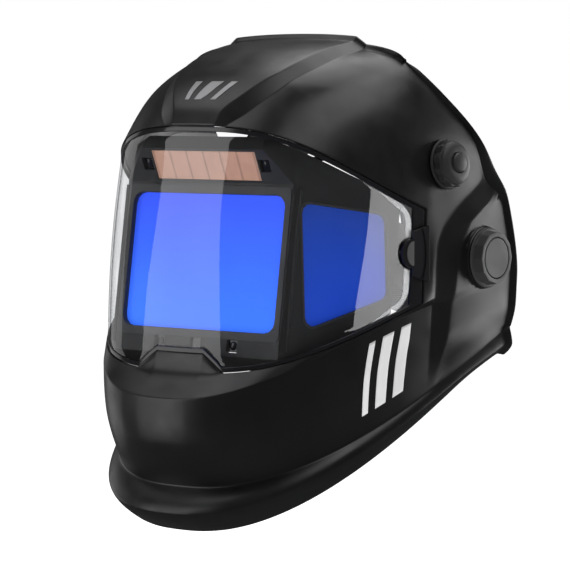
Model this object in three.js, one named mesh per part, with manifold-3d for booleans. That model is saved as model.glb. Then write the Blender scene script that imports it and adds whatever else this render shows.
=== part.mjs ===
// Welding helmet with an auto-darkening cartridge and adjustable headgear.
// Units are millimetres. +X is the wearer's left, the helmet faces -Y, +Z is up.
// The origin is the middle of the tilt pivot axis, which runs along X through the two side knobs.
import * as THREE from 'three';
import { mergeVertices } from 'three/addons/utils/BufferGeometryUtils.js';
import Module from 'manifold-3d';

const wasm = await Module();
wasm.setup();

// ---------------------------------------------------------------- driving dimensions

// Shell cross-sections, from the lip under the chin up to the rim over the crown.
// Each is a U-shaped curve: half-width and rear point, front point, squareness of the plan,
// how late the curve rises from the front, and whether the surface folds there.
const LEVELS = [
  // name, half-width, rear Y and Z, front Y and Z, squareness, rise, folded
  ['lip', 115, [30, -62], [-161, -174], 2.5, 1.1, true],
  ['flare', 119, [31, -57], [-177, -161], 2.5, 1.05, false],
  ['waist', 117, [32, -48], [-164, -145], 2.55, 1.0, true],
  ['chin', 120, [33, -32], [-179, -116], 2.5, 1.5, false],
  ['bevel', 121, [33, -20], [-181, -87], 2.5, 2.0, true],
  ['sill', 123, [33, -9], [-163, -71], 3.0, 1.55, true],
  ['brow', 121, [30, 16], [-147, 87], 3.0, 1.85, true],
  ['forehead', 114, [10, 74], [-116, 117], 2.7, 1.2, false],
  ['crown', 103, [-20, 106], [-82, 132], 2.5, 1.1, false],
  ['rim', 90, [-38, 126], [-42, 140], 2.2, 1.0, true],
].map(([name, half, [rearY, rearZ], [frontY, frontZ], square, rise, fold]) => (
  { name, half, rearY, rearZ, frontY, frontZ, square, rise, fold }
));
const SILL = 5;
const BROW = 6;
const RIM = LEVELS.length - 1;
const LEVEL_ROWS = [2, 2, 3, 2, 1, 5, 6, 3, 3];

const SHELL_THICK = 2.8;
const OPENING_ANGLE = 71.5;        // plan angle of the rear end of the visor opening, degrees
const TAB_RISE = 0.075;            // how far the middle of the sill stands up, in levels
const CROWN_PANEL_RAISE = 4.5;
const CROWN_PANEL_START = 6.25;    // level at which the crown panel reaches its full height
const CROWN_PANEL_TOP = [
  [0, 20], [5, 20], [6, 18], [6.25, 20], [6.54, 29], [7.08, 42], [7.6, 46], [8.33, 48.5], [9, 51],
];
const CROWN_PANEL_FOOT = [
  [0, 36], [5, 36], [6, 26], [6.25, 36], [6.8, 48], [7.54, 55.5], [8, 57.5], [9, 59],
];
const EAR_RAISE = 4.5;
const EAR_FOOT = [[-80, -46], [-5, -45.5], [11, -43], [23, -34], [34, -22], [51, 7.5], [60, 24], [70, 45]];
const EAR_TOP = [
  [-80, -40], [-37, -32.5], [-13, -30], [2.5, -27], [11, -23], [24, -13], [34, 3.5], [42, 20], [55, 50],
];
const EAR_FADE = [-85, -50];       // the raised ear panel dies away between these heights
const RIM_FLANGE = 3.2;
const RIM_FLANGE_WIDTH = 4;

const PIVOT_HOLE = 6;
const PIVOT_BOSS = { inner: 119, outer: 127.4, innerRadius: 17, outerRadius: 20.5 };
const KNOB_SEAT = { level: 6.58, angle: 77 };

// Clear cover and its black bezel, measured in from the edge of the opening.
const GAP = 0.4;
const BEZEL_WIDTH = 3.2;
const VISOR_ANGLE = 67.6;          // plan angle where the bezel's rear ends begin, degrees
const BEZEL_END = 11.6;            // length of the bezel's rear ends along the shell
const BEZEL_DEPTHS = [-0.6, -2.6];
const COVER_DEPTHS = [-1, -2.2];
const VISOR_BULGE = 3;              // the cover stands out this far from the shell's line at mid-height
const COVER_CORNER = 10;
const COVER_COLUMN = 22.8;         // length along the shell of the last column before the bezel's end
const LATCH_SEAT = { level: 5.53, angle: 69.8 };
const LATCH = { half: 7, frontHeight: 14.5, rearHeight: 18.5, tabLength: 9.5, tabHeight: 9.7, thick: 2.6 };

// Auto-darkening cartridge.
const LENS_CENTRE = new THREE.Vector3(0, -138, -1);
const LENS_PITCH = THREE.MathUtils.degToRad(8.3);
const PANEL_HALF = 73;             // where the front and side panels' planes meet
const PANEL_CHAMFER = 3;
const SIDE_SWEEP = THREE.MathUtils.degToRad(65);
const SIDE_LENGTH = 75.5;
const PANEL_TOP = 50;
const PANEL_BOTTOM = -61;
const HOUSING_WALL = 3;
const FRONT_WINDOW = { half: 64.75, up: 44.3, radius: 8 };
const SIDE_WINDOW = [[9.7, -41.6], [69.5, -22.8], [69.5, 30.5], [9.7, 39.6]];
const FRONT_FILTER_THICK = 5;
const SIDE_FILTER_THICK = 3;
const REAR_FRAME_DEPTHS = [-8.8, -11.2];
const HOOD = { half: 52, topY: -139.5, topZ: 72 };
const SOLAR = { half: 44, up: 10, thick: 0.9 };

// Headgear.
const BAND = { half: 84, thick: 2.4, frontY: -95, sideFrontY: -55, sideRearY: 58, rearY: 115.25, endX: 40 };
const RATCHET = { y: [107, 118], half: 38, centreZ: -32, up: 16, pitch: 5 };

// ---------------------------------------------------------------- materials

const surface = (color, roughness, metalness = 0, opacity = 1) => new THREE.MeshStandardMaterial({
  color, roughness, metalness, opacity, transparent: opacity < 1,
});
const looks = {
  shell: () => surface('#2b2c2e', 0.45),
  gloss: () => surface('#0c0d0f', 0.15),
  housing: () => surface('#4a4c4f', 0.5),
  inner: () => surface('#1f2022', 0.6),
  clear: () => surface('#eef3f6', 0.05, 0, 0.35),
  filter: () => surface('#2f6fe0', 0.1),
  solar: () => surface('#9a6a4c', 0.3),
  sensor: () => surface('#15161a', 0.2),
  board: () => surface('#1d5a34', 0.5),
  display: () => surface('#9fb09a', 0.2),
  button: () => surface('#6f7275', 0.5),
  steel: () => surface('#b4b8bc', 0.3, 1),
  nylon: () => surface('#3a3c3f', 0.6),
  foam: () => surface('#26282c', 0.95),
  rubber: () => surface('#111214', 0.8),
};

// ---------------------------------------------------------------- small geometry tools

const vec = (x, y, z) => new THREE.Vector3(x, y, z);
const radians = THREE.MathUtils.degToRad;

function interpolate(table, at) {
  if (at <= table[0][0]) return table[0][1];
  for (let i = 1; i < table.length; i += 1) {
    const [x0, y0] = table[i - 1];
    const [x1, y1] = table[i];
    if (at <= x1) return y0 + ((y1 - y0) * (at - x0)) / (x1 - x0);
  }
  return table[table.length - 1][1];
}

// A closed triangle mesh as a boolean-ready solid, wound outwards whatever it came as.
function solidOf(geometry) {
  const plain = new THREE.BufferGeometry();
  plain.setAttribute('position', geometry.getAttribute('position').clone());
  if (geometry.index) plain.setIndex(geometry.index.clone());
  const merged = mergeVertices(plain, 1e-4);
  const points = new Float32Array(merged.attributes.position.array);
  const corners = new Uint32Array(merged.index.array);
  if (signedVolume(points, corners) < 0) {
    for (let i = 0; i < corners.length; i += 3) {
      [corners[i + 1], corners[i + 2]] = [corners[i + 2], corners[i + 1]];
    }
  }
  return new wasm.Manifold(new wasm.Mesh({ numProp: 3, vertProperties: points, triVerts: corners }));
}

function signedVolume(points, corners) {
  const at = (i) => vec(points[3 * i], points[3 * i + 1], points[3 * i + 2]);
  let sum = 0;
  for (let i = 0; i < corners.length; i += 3) {
    sum += at(corners[i]).dot(at(corners[i + 1]).cross(at(corners[i + 2])));
  }
  return sum / 6;
}

function geometryOf(solid) {
  const mesh = solid.getMesh();
  const geometry = new THREE.BufferGeometry();
  geometry.setAttribute('position', new THREE.BufferAttribute(Float32Array.from(mesh.vertProperties), 3));
  geometry.setIndex(new THREE.BufferAttribute(Uint32Array.from(mesh.triVerts), 1));
  const flat = geometry.toNonIndexed();
  flat.computeVertexNormals();
  return flat;
}

const mirrored = (solid) => solid.mirror([1, 0, 0]);

function block(x0, x1, y0, y1, z0, z1) {
  const geometry = new THREE.BoxGeometry(x1 - x0, y1 - y0, z1 - z0);
  geometry.translate((x0 + x1) / 2, (y0 + y1) / 2, (z0 + z1) / 2);
  return solidOf(geometry);
}

// A local frame: origin, two axes in a face and the direction out of it.
function frameAt(origin, right, out) {
  const side = right.clone().normalize();
  const outward = out.clone().addScaledVector(side, -out.dot(side)).normalize();
  return { origin, right: side, up: outward.clone().cross(side), out: outward };
}

function placed(frame) {
  return new THREE.Matrix4().makeBasis(frame.right, frame.up, frame.out).setPosition(frame.origin);
}

// Turned part: profile points are [radius, height], the height running out of the frame.
// A profile that does not start on the axis is a ring and is closed back to its first point.
function turned(frame, profile, segments = 24) {
  const ring = profile[0][0] > 0 ? [...profile, profile[0]] : profile;
  const geometry = new THREE.LatheGeometry(ring.map(([r, h]) => new THREE.Vector2(r, h)), segments);
  geometry.rotateX(Math.PI / 2);
  geometry.applyMatrix4(placed(frame));
  return solidOf(geometry);
}

const disc = (frame, radius, from, to, segments = 24) => (
  turned(frame, [[0, from], [radius, from], [radius, to], [0, to]], segments)
);

// Flat outline pushed from one height to another above a frame.
function prism(frame, outline, from, to) {
  const shape = new THREE.Shape(outline.map(([x, y]) => new THREE.Vector2(x, y)));
  const geometry = new THREE.ExtrudeGeometry(shape, { depth: to - from, bevelEnabled: false });
  geometry.translate(0, 0, from);
  geometry.applyMatrix4(placed(frame));
  return solidOf(geometry);
}

function rounded(corners, radius, steps = 3) {
  const points = [];
  corners.forEach(([x, y], i) => {
    const here = new THREE.Vector2(x, y);
    const before = new THREE.Vector2(...corners.at(i - 1)).sub(here).normalize();
    const after = new THREE.Vector2(...corners[(i + 1) % corners.length]).sub(here).normalize();
    const half = Math.acos(THREE.MathUtils.clamp(before.dot(after), -1, 1)) / 2;
    const centre = here.clone().add(before.clone().add(after).setLength(radius / Math.sin(half)));
    const start = here.clone().addScaledVector(before, radius / Math.tan(half)).sub(centre);
    const sweep = Math.PI - 2 * half;
    const turn = Math.sign(before.cross(after)) || 1;
    for (let k = 0; k <= steps; k += 1) {
      const arm = start.clone().rotateAround(new THREE.Vector2(), (-turn * sweep * k) / steps);
      points.push([centre.x + arm.x, centre.y + arm.y]);
    }
  });
  return points;
}

const rectangle = (half, up) => [[-half, -up], [half, -up], [half, up], [-half, up]];

function lobed(radius, depth, lobes, steps = 4) {
  const points = [];
  for (let i = 0; i < lobes * steps; i += 1) {
    const angle = (2 * Math.PI * i) / (lobes * steps);
    const r = radius - depth * (0.5 - 0.5 * Math.cos(angle * lobes));
    points.push([r * Math.cos(angle), r * Math.sin(angle)]);
  }
  return points;
}

// Sheet of faces given thickness: outer and inner skins offset along mitred vertex normals,
// joined by walls around every free edge.
function sheetSolid(points, faces, outer, inner) {
  const normals = points.map(() => vec(0, 0, 0));
  const faceNormals = faces.map((face) => {
    const a = points[face[0]];
    const b = points[face[1]];
    const c = points[face[2]];
    return b.clone().sub(a).cross(c.clone().sub(a)).normalize();
  });
  faces.forEach((face, i) => face.forEach((corner) => normals[corner].add(faceNormals[i])));
  normals.forEach((normal) => normal.normalize());
  const mitre = points.map(() => 1);
  faces.forEach((face, i) => face.forEach((corner) => {
    mitre[corner] = Math.min(mitre[corner], Math.max(0.6, normals[corner].dot(faceNormals[i])));
  }));
  const skin = (offset) => points.map((point, i) => (
    point.clone().addScaledVector(normals[i], offset(i) / mitre[i])
  ));
  const offsetAt = (value) => (typeof value === 'number' ? () => value : (i) => value[i]);
  return stitched([...skin(offsetAt(outer)), ...skin(offsetAt(inner))], faces, points.length);
}

// Closes a sheet whose second skin repeats the first one's points in the same order.
function stitched(points, faces, count) {
  const corners = [];
  const edges = new Map();
  faces.forEach((face) => {
    for (let k = 1; k < face.length - 1; k += 1) {
      corners.push(face[0], face[k], face[k + 1]);
      corners.push(face[0] + count, face[k + 1] + count, face[k] + count);
    }
    face.forEach((a, k) => {
      const b = face[(k + 1) % face.length];
      if (edges.has(`${b},${a}`)) {
        edges.delete(`${b},${a}`);
      } else {
        edges.set(`${a},${b}`, [a, b]);
      }
    });
  });
  edges.forEach(([a, b]) => corners.push(a, a + count, b, b, a + count, b + count));
  const geometry = new THREE.BufferGeometry();
  const flat = points.flatMap((point) => [point.x, point.y, point.z]);
  geometry.setAttribute('position', new THREE.BufferAttribute(new Float32Array(flat), 3));
  geometry.setIndex(corners);
  return solidOf(geometry);
}

// Faces of a grid of rows and columns, keeping the cells the test accepts.
function gridFaces(rows, columns, keep = () => true) {
  const faces = [];
  for (let r = 0; r < rows - 1; r += 1) {
    for (let c = 0; c < columns - 1; c += 1) {
      const at = r * columns + c;
      if (keep(r, c)) faces.push([at, at + 1, at + columns + 1, at + columns]);
    }
  }
  return faces;
}

// Drops the points no face uses, so that every point of the sheet belongs to it.
function compacted(points, faces, ...values) {
  const used = [...new Set(faces.flat())].sort((a, b) => a - b);
  const renumber = new Map(used.map((old, i) => [old, i]));
  return [
    used.map((i) => points[i]),
    faces.map((face) => face.map((i) => renumber.get(i))),
    ...values.map((list) => used.map((i) => list[i])),
  ];
}

// ---------------------------------------------------------------- shell surface

function levelPoint(level, angle) {
  const across = Math.sign(Math.sin(angle)) * Math.abs(Math.sin(angle)) ** (2 / level.square);
  const along = Math.abs(Math.cos(angle)) ** (2 / level.square);
  return vec(
    level.half * across,
    level.rearY - (level.rearY - level.frontY) * along,
    level.rearZ + (level.frontZ - level.rearZ) * along ** level.rise,
  );
}

// Point of the shell's plain outer surface: height in levels, plan angle in radians.
function shellPoint(height, angle) {
  const i = THREE.MathUtils.clamp(Math.floor(height), 0, RIM - 1);
  const t = height - i;
  const at = (k) => levelPoint(LEVELS[k], angle);
  const [from, to] = [at(i), at(i + 1)];
  const chord = to.clone().sub(from);
  const tangent = (k) => {
    const below = at(k).sub(at(k - 1));
    const above = at(k + 1).sub(at(k));
    const [a, b] = [Math.max(below.length(), 1e-6), Math.max(above.length(), 1e-6)];
    return below.multiplyScalar(b / a).addScaledVector(above, a / b).multiplyScalar(chord.length() / (a + b));
  };
  const foldFrom = LEVELS[i].fold;
  const foldTo = LEVELS[i + 1].fold;
  let start = foldFrom ? chord.clone() : tangent(i);
  let end = foldTo ? chord.clone() : tangent(i + 1);
  if (foldFrom && !foldTo) start = chord.clone().multiplyScalar(1.5).addScaledVector(end, -0.5);
  if (foldTo && !foldFrom) end = chord.clone().multiplyScalar(1.5).addScaledVector(start, -0.5);
  return from.multiplyScalar(2 * t ** 3 - 3 * t ** 2 + 1)
    .addScaledVector(start, t ** 3 - 2 * t ** 2 + t)
    .addScaledVector(to, -2 * t ** 3 + 3 * t ** 2)
    .addScaledVector(end, t ** 3 - t ** 2);
}

function shellNormal(height, angle) {
  const step = 0.01;
  const low = THREE.MathUtils.clamp(height - step, 0, RIM - 2 * step);
  const limit = Math.PI / 2 - step;
  const middle = THREE.MathUtils.clamp(angle, -limit, limit);
  const up = shellPoint(low + 2 * step, middle).sub(shellPoint(low, middle));
  const across = shellPoint(low + step, middle + step).sub(shellPoint(low + step, middle - step));
  return across.cross(up).normalize();
}

// Smallest plan angle at which a quantity that grows with the angle reaches a value.
function angleWhere(height, quantity) {
  let low = 0;
  let high = Math.PI / 2;
  for (let i = 0; i < 30; i += 1) {
    const middle = (low + high) / 2;
    if (quantity(shellPoint(height, middle)) < 0) low = middle;
    else high = middle;
  }
  return (low + high) / 2;
}

const earFoot = (point) => point.y - interpolate(EAR_FOOT, point.z);
const earTop = (point) => point.y - interpolate(EAR_TOP, point.z);

// Plan angles of the lines the shell's columns follow at one height, on the wearer's left:
// crown panel, visor ends, ear panel and rim flange, always in that order round the shell.
const LEAST_STEP = 0.03;
function lineAngles(height) {
  const rimY = shellPoint(height, Math.PI / 2).y;
  const beforeRim = (distance) => angleWhere(height, (p) => p.y - rimY + distance);
  const lines = [
    0,
    angleWhere(height, (p) => p.x - interpolate(CROWN_PANEL_TOP, height)),
    angleWhere(height, (p) => p.x - interpolate(CROWN_PANEL_FOOT, height)),
    radians(VISOR_ANGLE),
    radians(OPENING_ANGLE),
    Math.min(angleWhere(height, earFoot), beforeRim(13)),
    Math.min(angleWhere(height, earTop), beforeRim(8)),
    beforeRim(RIM_FLANGE_WIDTH),
    Math.PI / 2,
  ];
  for (let i = 1; i < lines.length - 1; i += 1) {
    lines[i] = Math.max(lines[i], lines[i - 1] + LEAST_STEP);
  }
  return lines;
}

const LINE_STEPS = [2, 1, 7, 1, 1, 1, 2, 1];
const CROWN_LINE = LINE_STEPS[0];
const FOOT_LINE = CROWN_LINE + LINE_STEPS[1];
const VISOR_LINE = FOOT_LINE + LINE_STEPS[2];
const OPENING_LINE = VISOR_LINE + LINE_STEPS[3];
const RIM_LINE = LINE_STEPS.reduce((sum, steps) => sum + steps, 0);

function columnAngle(lines, column) {
  let index = Math.abs(column);
  let line = 0;
  while (index > LINE_STEPS[line]) {
    index -= LINE_STEPS[line];
    line += 1;
  }
  const angle = lines[line] + ((lines[line + 1] - lines[line]) * index) / LINE_STEPS[line];
  return Math.sign(column) * angle;
}

// The sill stands up between the crown columns and slopes down to the next ones.
const sillHeight = (column) => (
  SILL + TAB_RISE * THREE.MathUtils.clamp(FOOT_LINE - Math.abs(column), 0, 1)
);

// How far the shell stands out from its plain surface at a point.
function raised(height, column, point) {
  let raise = 0;
  if (height >= BROW && Math.abs(column) <= CROWN_LINE) {
    raise = CROWN_PANEL_RAISE * THREE.MathUtils.mapLinear(
      Math.min(height, CROWN_PANEL_START), BROW, CROWN_PANEL_START, 0.35, 1);
  }
  const slope = earFoot(point) / Math.max(1, interpolate(EAR_TOP, point.z) - interpolate(EAR_FOOT, point.z));
  const fade = THREE.MathUtils.smoothstep(point.z, ...EAR_FADE);
  raise += EAR_RAISE * fade * THREE.MathUtils.clamp(earFootOpen(point) ? slope : 0, 0, 1);
  if (Math.abs(column) === RIM_LINE || height === RIM) raise += RIM_FLANGE;
  return raise;
}

const earFootOpen = (point) => point.z < 60 && Math.abs(point.x) > 90;

function makeShell() {
  const heights = [];
  LEVEL_ROWS.forEach((rows, level) => {
    for (let k = 0; k < rows; k += 1) heights.push([level, k / rows]);
  });
  heights.push([RIM - 1, 1 - RIM_FLANGE_WIDTH / 45], [RIM - 1, 1]);
  const columns = 2 * RIM_LINE + 1;
  const points = [];
  const outward = [];
  const raises = [];
  heights.forEach(([level, part]) => {
    for (let column = -RIM_LINE; column <= RIM_LINE; column += 1) {
      const from = level === SILL ? sillHeight(column) : level;
      const to = level + 1 === SILL ? sillHeight(column) : level + 1;
      const height = from + (to - from) * part;
      const angle = columnAngle(lineAngles(height), column);
      const point = shellPoint(height, angle);
      points.push(point);
      outward.push(shellNormal(height, angle));
      raises.push(raised(height, column, point));
    }
  });
  const visorRows = heights.map(([level]) => level === SILL);
  const keep = (row, column) => !visorRows[row] || Math.abs(column + 0.5 - RIM_LINE) > OPENING_LINE;
  const faces = gridFaces(heights.length, columns, keep);
  const [used, kept, normals, lifts] = compacted(points, faces, outward, raises);
  const outer = used.map((point, i) => point.clone().addScaledVector(normals[i], lifts[i]));
  const inner = outer.map((point, i) => point.clone().addScaledVector(normals[i], -SHELL_THICK));
  let solid = stitched([...outer, ...inner], kept, used.length);
  const { inner: bossIn, outer: bossOut, innerRadius, outerRadius } = PIVOT_BOSS;
  [1, -1].forEach((side) => {
    const pivot = sideFrame(side);
    solid = solid.add(disc(pivot, outerRadius, bossIn + 4, bossOut, 36));
    solid = solid.add(disc(pivot, innerRadius, bossIn, bossOut - 2, 30));
    solid = solid.subtract(disc(pivot, PIVOT_HOLE, bossIn - 5, bossOut + 5, 24));
  });
  return solid.subtract(disc(knobFrame(), 4.8, -10, 10, 20));
}

// Frame at the tilt pivot looking out along one side, heights measured from the middle plane.
const sideFrame = (side) => frameAt(vec(0, 0, 0), vec(0, side, 0), vec(side, 0, 0));

function surfaceFrame({ level, angle }) {
  const at = radians(angle);
  const along = shellPoint(level, at + 0.01).sub(shellPoint(level, at - 0.01));
  return frameAt(shellPoint(level, at), along, shellNormal(level, at));
}

const knobFrame = () => surfaceFrame(KNOB_SEAT);
const latchFrame = () => surfaceFrame(LATCH_SEAT);

// ---------------------------------------------------------------- visor: bezel, cover, latches

// Point and direction of the visor's surface. The column counts shell columns, the part runs from
// the sill to the brow, and the margin keeps that far inside both edges.
function visorPoint(column, part, margin) {
  const bottom = sillHeight(column);
  const at = (height) => shellPoint(height, columnAngle(lineAngles(height), column));
  const inset = margin / at(bottom).distanceTo(at(BROW));
  const height = bottom + (BROW - bottom) * (inset + (1 - 2 * inset) * part);
  const flat = THREE.MathUtils.clamp(height, SILL + 0.02, BROW - 0.02);
  const normal = shellNormal(flat, columnAngle(lineAngles(height), column));
  const bulge = VISOR_BULGE * (1 - Math.abs(column / OPENING_LINE) ** 3);
  const rise = Math.sin((Math.PI * (height - bottom)) / (BROW - bottom));
  return [at(height).addScaledVector(normal, bulge * rise), normal];
}

const bothSides = (columns) => [...columns.slice(1).reverse().map((column) => -column), ...columns];

function visorSheet(columns, parts, marginAt, depths, keep) {
  const grid = parts.flatMap((part) => (
    columns.map((column) => visorPoint(column, part(column), marginAt(column)))
  ));
  const faces = gridFaces(parts.length, columns.length, keep);
  const [points, kept, normals] = compacted(grid.map((p) => p[0]), faces, grid.map((p) => p[1]));
  const skins = depths.flatMap((depth) => (
    points.map((point, i) => point.clone().addScaledVector(normals[i], depth))
  ));
  return stitched(skins, kept, points.length);
}

function makeBezel() {
  const whole = Array.from({ length: VISOR_LINE + 1 }, (_, i) => i);
  const columns = bothSides([...whole, OPENING_LINE - GAP / BEZEL_END]);
  const rows = 7;
  const parts = Array.from({ length: rows }, (_, row) => (column) => {
    const tall = visorPoint(column, 0, GAP)[0].distanceTo(visorPoint(column, 1, GAP)[0]);
    const band = BEZEL_WIDTH / tall;
    if (row === 0) return 0;
    if (row === rows - 1) return 1;
    return band + ((1 - 2 * band) * (row - 1)) / (rows - 3);
  });
  const keep = (row, column) => (
    row === 0 || row === rows - 2 || column === 0 || column === columns.length - 2
  );
  return visorSheet(columns, parts, () => GAP, BEZEL_DEPTHS, keep);
}

function makeCover() {
  const whole = Array.from({ length: VISOR_LINE }, (_, i) => i);
  const end = VISOR_LINE - 1.2 / COVER_COLUMN;
  const cornerColumns = [10, 6, 2.5, 0].map((length) => end - length / COVER_COLUMN);
  const columns = bothSides([...whole, ...cornerColumns]);
  const rows = 6;
  const parts = Array.from({ length: rows }, (_, row) => () => row / (rows - 1));
  const margin = (column) => {
    const short = Math.max(0, COVER_CORNER - (end - Math.abs(column)) * COVER_COLUMN);
    return 2 * GAP + 0.2 + BEZEL_WIDTH + COVER_CORNER - Math.sqrt(COVER_CORNER ** 2 - short ** 2);
  };
  const sheet = visorSheet(columns, parts, margin, COVER_DEPTHS, () => true);
  const notch = prism(latchFrame(), tabOutline(0.9), -8, 4);
  return sheet.subtract(notch).subtract(mirrored(notch));
}

// Rounded nose of the cover latch, grown by a clearance.
function tabOutline(clearance) {
  const steps = 12;
  const points = [1, -1].map((side) => [-LATCH.half + 5, side * (LATCH.tabHeight + clearance)]);
  const nose = Array.from({ length: steps + 1 }, (_, i) => {
    const angle = -Math.PI / 2 - (Math.PI * i) / steps;
    return [
      -LATCH.half + (LATCH.tabLength + clearance) * Math.cos(angle),
      (LATCH.tabHeight + clearance) * Math.sin(angle),
    ];
  });
  return [points[0], points[1], ...nose];
}

function makeLatch() {
  const frame = latchFrame();
  const { half, frontHeight, rearHeight, thick } = LATCH;
  const outline = [[-half, -frontHeight], [half, -rearHeight], [half, rearHeight], [-half, frontHeight]];
  const body = prism(frame, outline, 0.35, thick);
  const tab = prism(frame, tabOutline(0), 0.35, thick - 0.7);
  const grip = prism(frame, [[1.5, -15], [3, -15], [3, 15], [1.5, 15]], thick - 0.1, thick + 0.8);
  return body.add(tab).add(grip);
}

// ---------------------------------------------------------------- auto-darkening cartridge

const FRONT = frameAt(LENS_CENTRE, vec(1, 0, 0), vec(0, -Math.cos(LENS_PITCH), Math.sin(LENS_PITCH)));
const SIDE_ALONG = vec(Math.cos(SIDE_SWEEP), Math.sin(SIDE_SWEEP), 0);
const SIDE = frameAt(
  vec(PANEL_HALF, LENS_CENTRE.y, LENS_CENTRE.z), SIDE_ALONG, SIDE_ALONG.clone().cross(FRONT.up));
const HOOD_FOOT_Y = LENS_CENTRE.y + (PANEL_TOP - LENS_CENTRE.z) * Math.tan(LENS_PITCH);
const HOOD_FRAME = frameAt(
  vec(0, (HOOD_FOOT_Y + HOOD.topY) / 2, (PANEL_TOP + HOOD.topZ) / 2),
  vec(1, 0, 0),
  vec(1, 0, 0).cross(vec(0, HOOD.topY - HOOD_FOOT_Y, HOOD.topZ - PANEL_TOP)),
);

const frontPoint = (x, z) => vec(x, LENS_CENTRE.y + (z - LENS_CENTRE.z) * Math.tan(LENS_PITCH), z);
function sidePoint(side, along, z) {
  const base = frontPoint(PANEL_HALF, z).addScaledVector(SIDE_ALONG, along);
  return vec(side * base.x, base.y, base.z);
}

// Mirrors a half-outline of points and faces across the middle plane.
function twoSided(points, faces) {
  const all = [...points];
  const partner = points.map((point, i) => {
    if (Math.abs(point.x) < 1e-6) return i;
    all.push(vec(-point.x, point.y, point.z));
    return all.length - 1;
  });
  const flipped = faces.map((face) => face.map((i) => partner[i]).reverse());
  return [all, [...faces, ...flipped]];
}

function makeHousing() {
  const inner = PANEL_HALF - PANEL_CHAMFER;
  const points = [
    vec(0, -139, -70), vec(inner, -139, -70), sidePoint(1, 8, -70),
    frontPoint(0, PANEL_BOTTOM), frontPoint(inner, PANEL_BOTTOM), sidePoint(1, 4, PANEL_BOTTOM + 2),
    sidePoint(1, SIDE_LENGTH, -34),
    frontPoint(0, PANEL_TOP), frontPoint(inner, PANEL_TOP), sidePoint(1, 4, PANEL_TOP),
    sidePoint(1, SIDE_LENGTH, 40),
    vec(0, HOOD.topY, HOOD.topZ), vec(HOOD.half, HOOD.topY, HOOD.topZ),
    vec(0, -134.5, 80), vec(49, -134.5, 80),
    vec(65, -128, 74), vec(82, -114, 64), vec(94, -94, 53),
  ];
  const faces = [
    [0, 1, 4, 3], [1, 2, 5, 4], [2, 6, 5],
    [3, 4, 8, 7], [4, 5, 9, 8], [5, 6, 10, 9],
    [7, 8, 12, 11], [11, 12, 14, 13], [8, 9, 15, 12], [12, 15, 14],
    [9, 16, 15], [9, 17, 16], [9, 10, 17],
  ];
  const [all, every] = twoSided(points, faces);
  let solid = sheetSolid(all, every, 0, -HOUSING_WALL);
  const behind = -HOUSING_WALL - 0.1;
  const pocket = prism(SIDE, rounded(grownSideWindow(2.2), 5), -12, behind);
  const sideHole = prism(SIDE, rounded(SIDE_WINDOW, 6), -9, 5).add(pocket);
  const { half, up, radius } = FRONT_WINDOW;
  solid = solid
    .subtract(prism(FRONT, rounded(rectangle(half, up), radius), -9, 5))
    .subtract(prism(FRONT, rounded(rectangle(half + 2, up + 2), 7), -12, behind))
    .subtract(sideHole).subtract(mirrored(sideHole))
    .subtract(prism(HOOD_FRAME, rectangle(SOLAR.half + 0.3, SOLAR.up + 0.3), -1.4, 5));
  return sensorFrames().reduce((rest, frame) => (
    rest.subtract(prism(frame, rectangle(4.4, 4.4), -9, 5))
  ), solid);
}

// The side window's outline pushed out by a margin.
function grownSideWindow(margin) {
  const middle = SIDE_WINDOW.reduce(([x, y], corner) => [x + corner[0] / 4, y + corner[1] / 4], [0, 0]);
  const pushed = (value, from) => value + Math.sign(value - from) * margin;
  return SIDE_WINDOW.map(([x, y]) => [pushed(x, middle[0]), pushed(y, middle[1])]);
}

// Two arc sensors under the hood, then two more and an infrared window below the lens.
function sensorFrames() {
  const upper = [50, -50].map((x) => shifted(HOOD_FRAME, x, 0.5));
  const lower = [31, -31, 0].map((x) => shifted(FRONT, x, -53.5));
  return [...upper, ...lower];
}

function shifted(frame, right, up) {
  const origin = frame.origin.clone().addScaledVector(frame.right, right).addScaledVector(frame.up, up);
  return { ...frame, origin };
}

function makeSensor(frame) {
  const base = prism(frame, rectangle(4, 4), -3, -1.8);
  return base.add(turned(frame, [[0, -2.4], [2.8, -2.4], [2.8, -1.4], [1.8, -0.9], [0, -0.7]], 16));
}

const makeWindow = (frame) => prism(frame, rectangle(4, 4), -2.6, -1.4);

function makeFrontFilter() {
  const outline = rounded(rectangle(FRONT_WINDOW.half + 1.7, FRONT_WINDOW.up + 1.7), 7);
  return prism(FRONT, outline, -HOUSING_WALL - 0.4 - FRONT_FILTER_THICK, -HOUSING_WALL - 0.4);
}

function makeSideFilter() {
  const outline = rounded(grownSideWindow(1.7), 5);
  return prism(SIDE, outline, -HOUSING_WALL - 0.4 - SIDE_FILTER_THICK, -HOUSING_WALL - 0.4);
}

function makeRearFrame() {
  const points = [
    frontPoint(0, -56), frontPoint(PANEL_HALF, -56), sidePoint(1, 71, -30),
    frontPoint(0, 46), frontPoint(PANEL_HALF, 46), sidePoint(1, 71, 35),
  ];
  const [all, faces] = twoSided(points, [[0, 1, 4, 3], [1, 2, 5, 4]]);
  const frame = sheetSolid(all, faces, REAR_FRAME_DEPTHS[0], REAR_FRAME_DEPTHS[1]);
  const hole = prism(FRONT, rounded(rectangle(56, 38), 6), -20, 0);
  const sideHole = prism(SIDE, rounded([[17, -34], [62, -20], [62, 26], [17, 33]], 5), -20, 0);
  return frame.subtract(hole).subtract(sideHole).subtract(mirrored(sideHole));
}

const makeInnerCover = () => prism(FRONT, rounded(rectangle(59, 41), 5), -12.7, -11.5);

const makeSolar = () => prism(HOOD_FRAME, rectangle(SOLAR.half, SOLAR.up), -1.2, -1.2 + SOLAR.thick);

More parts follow.
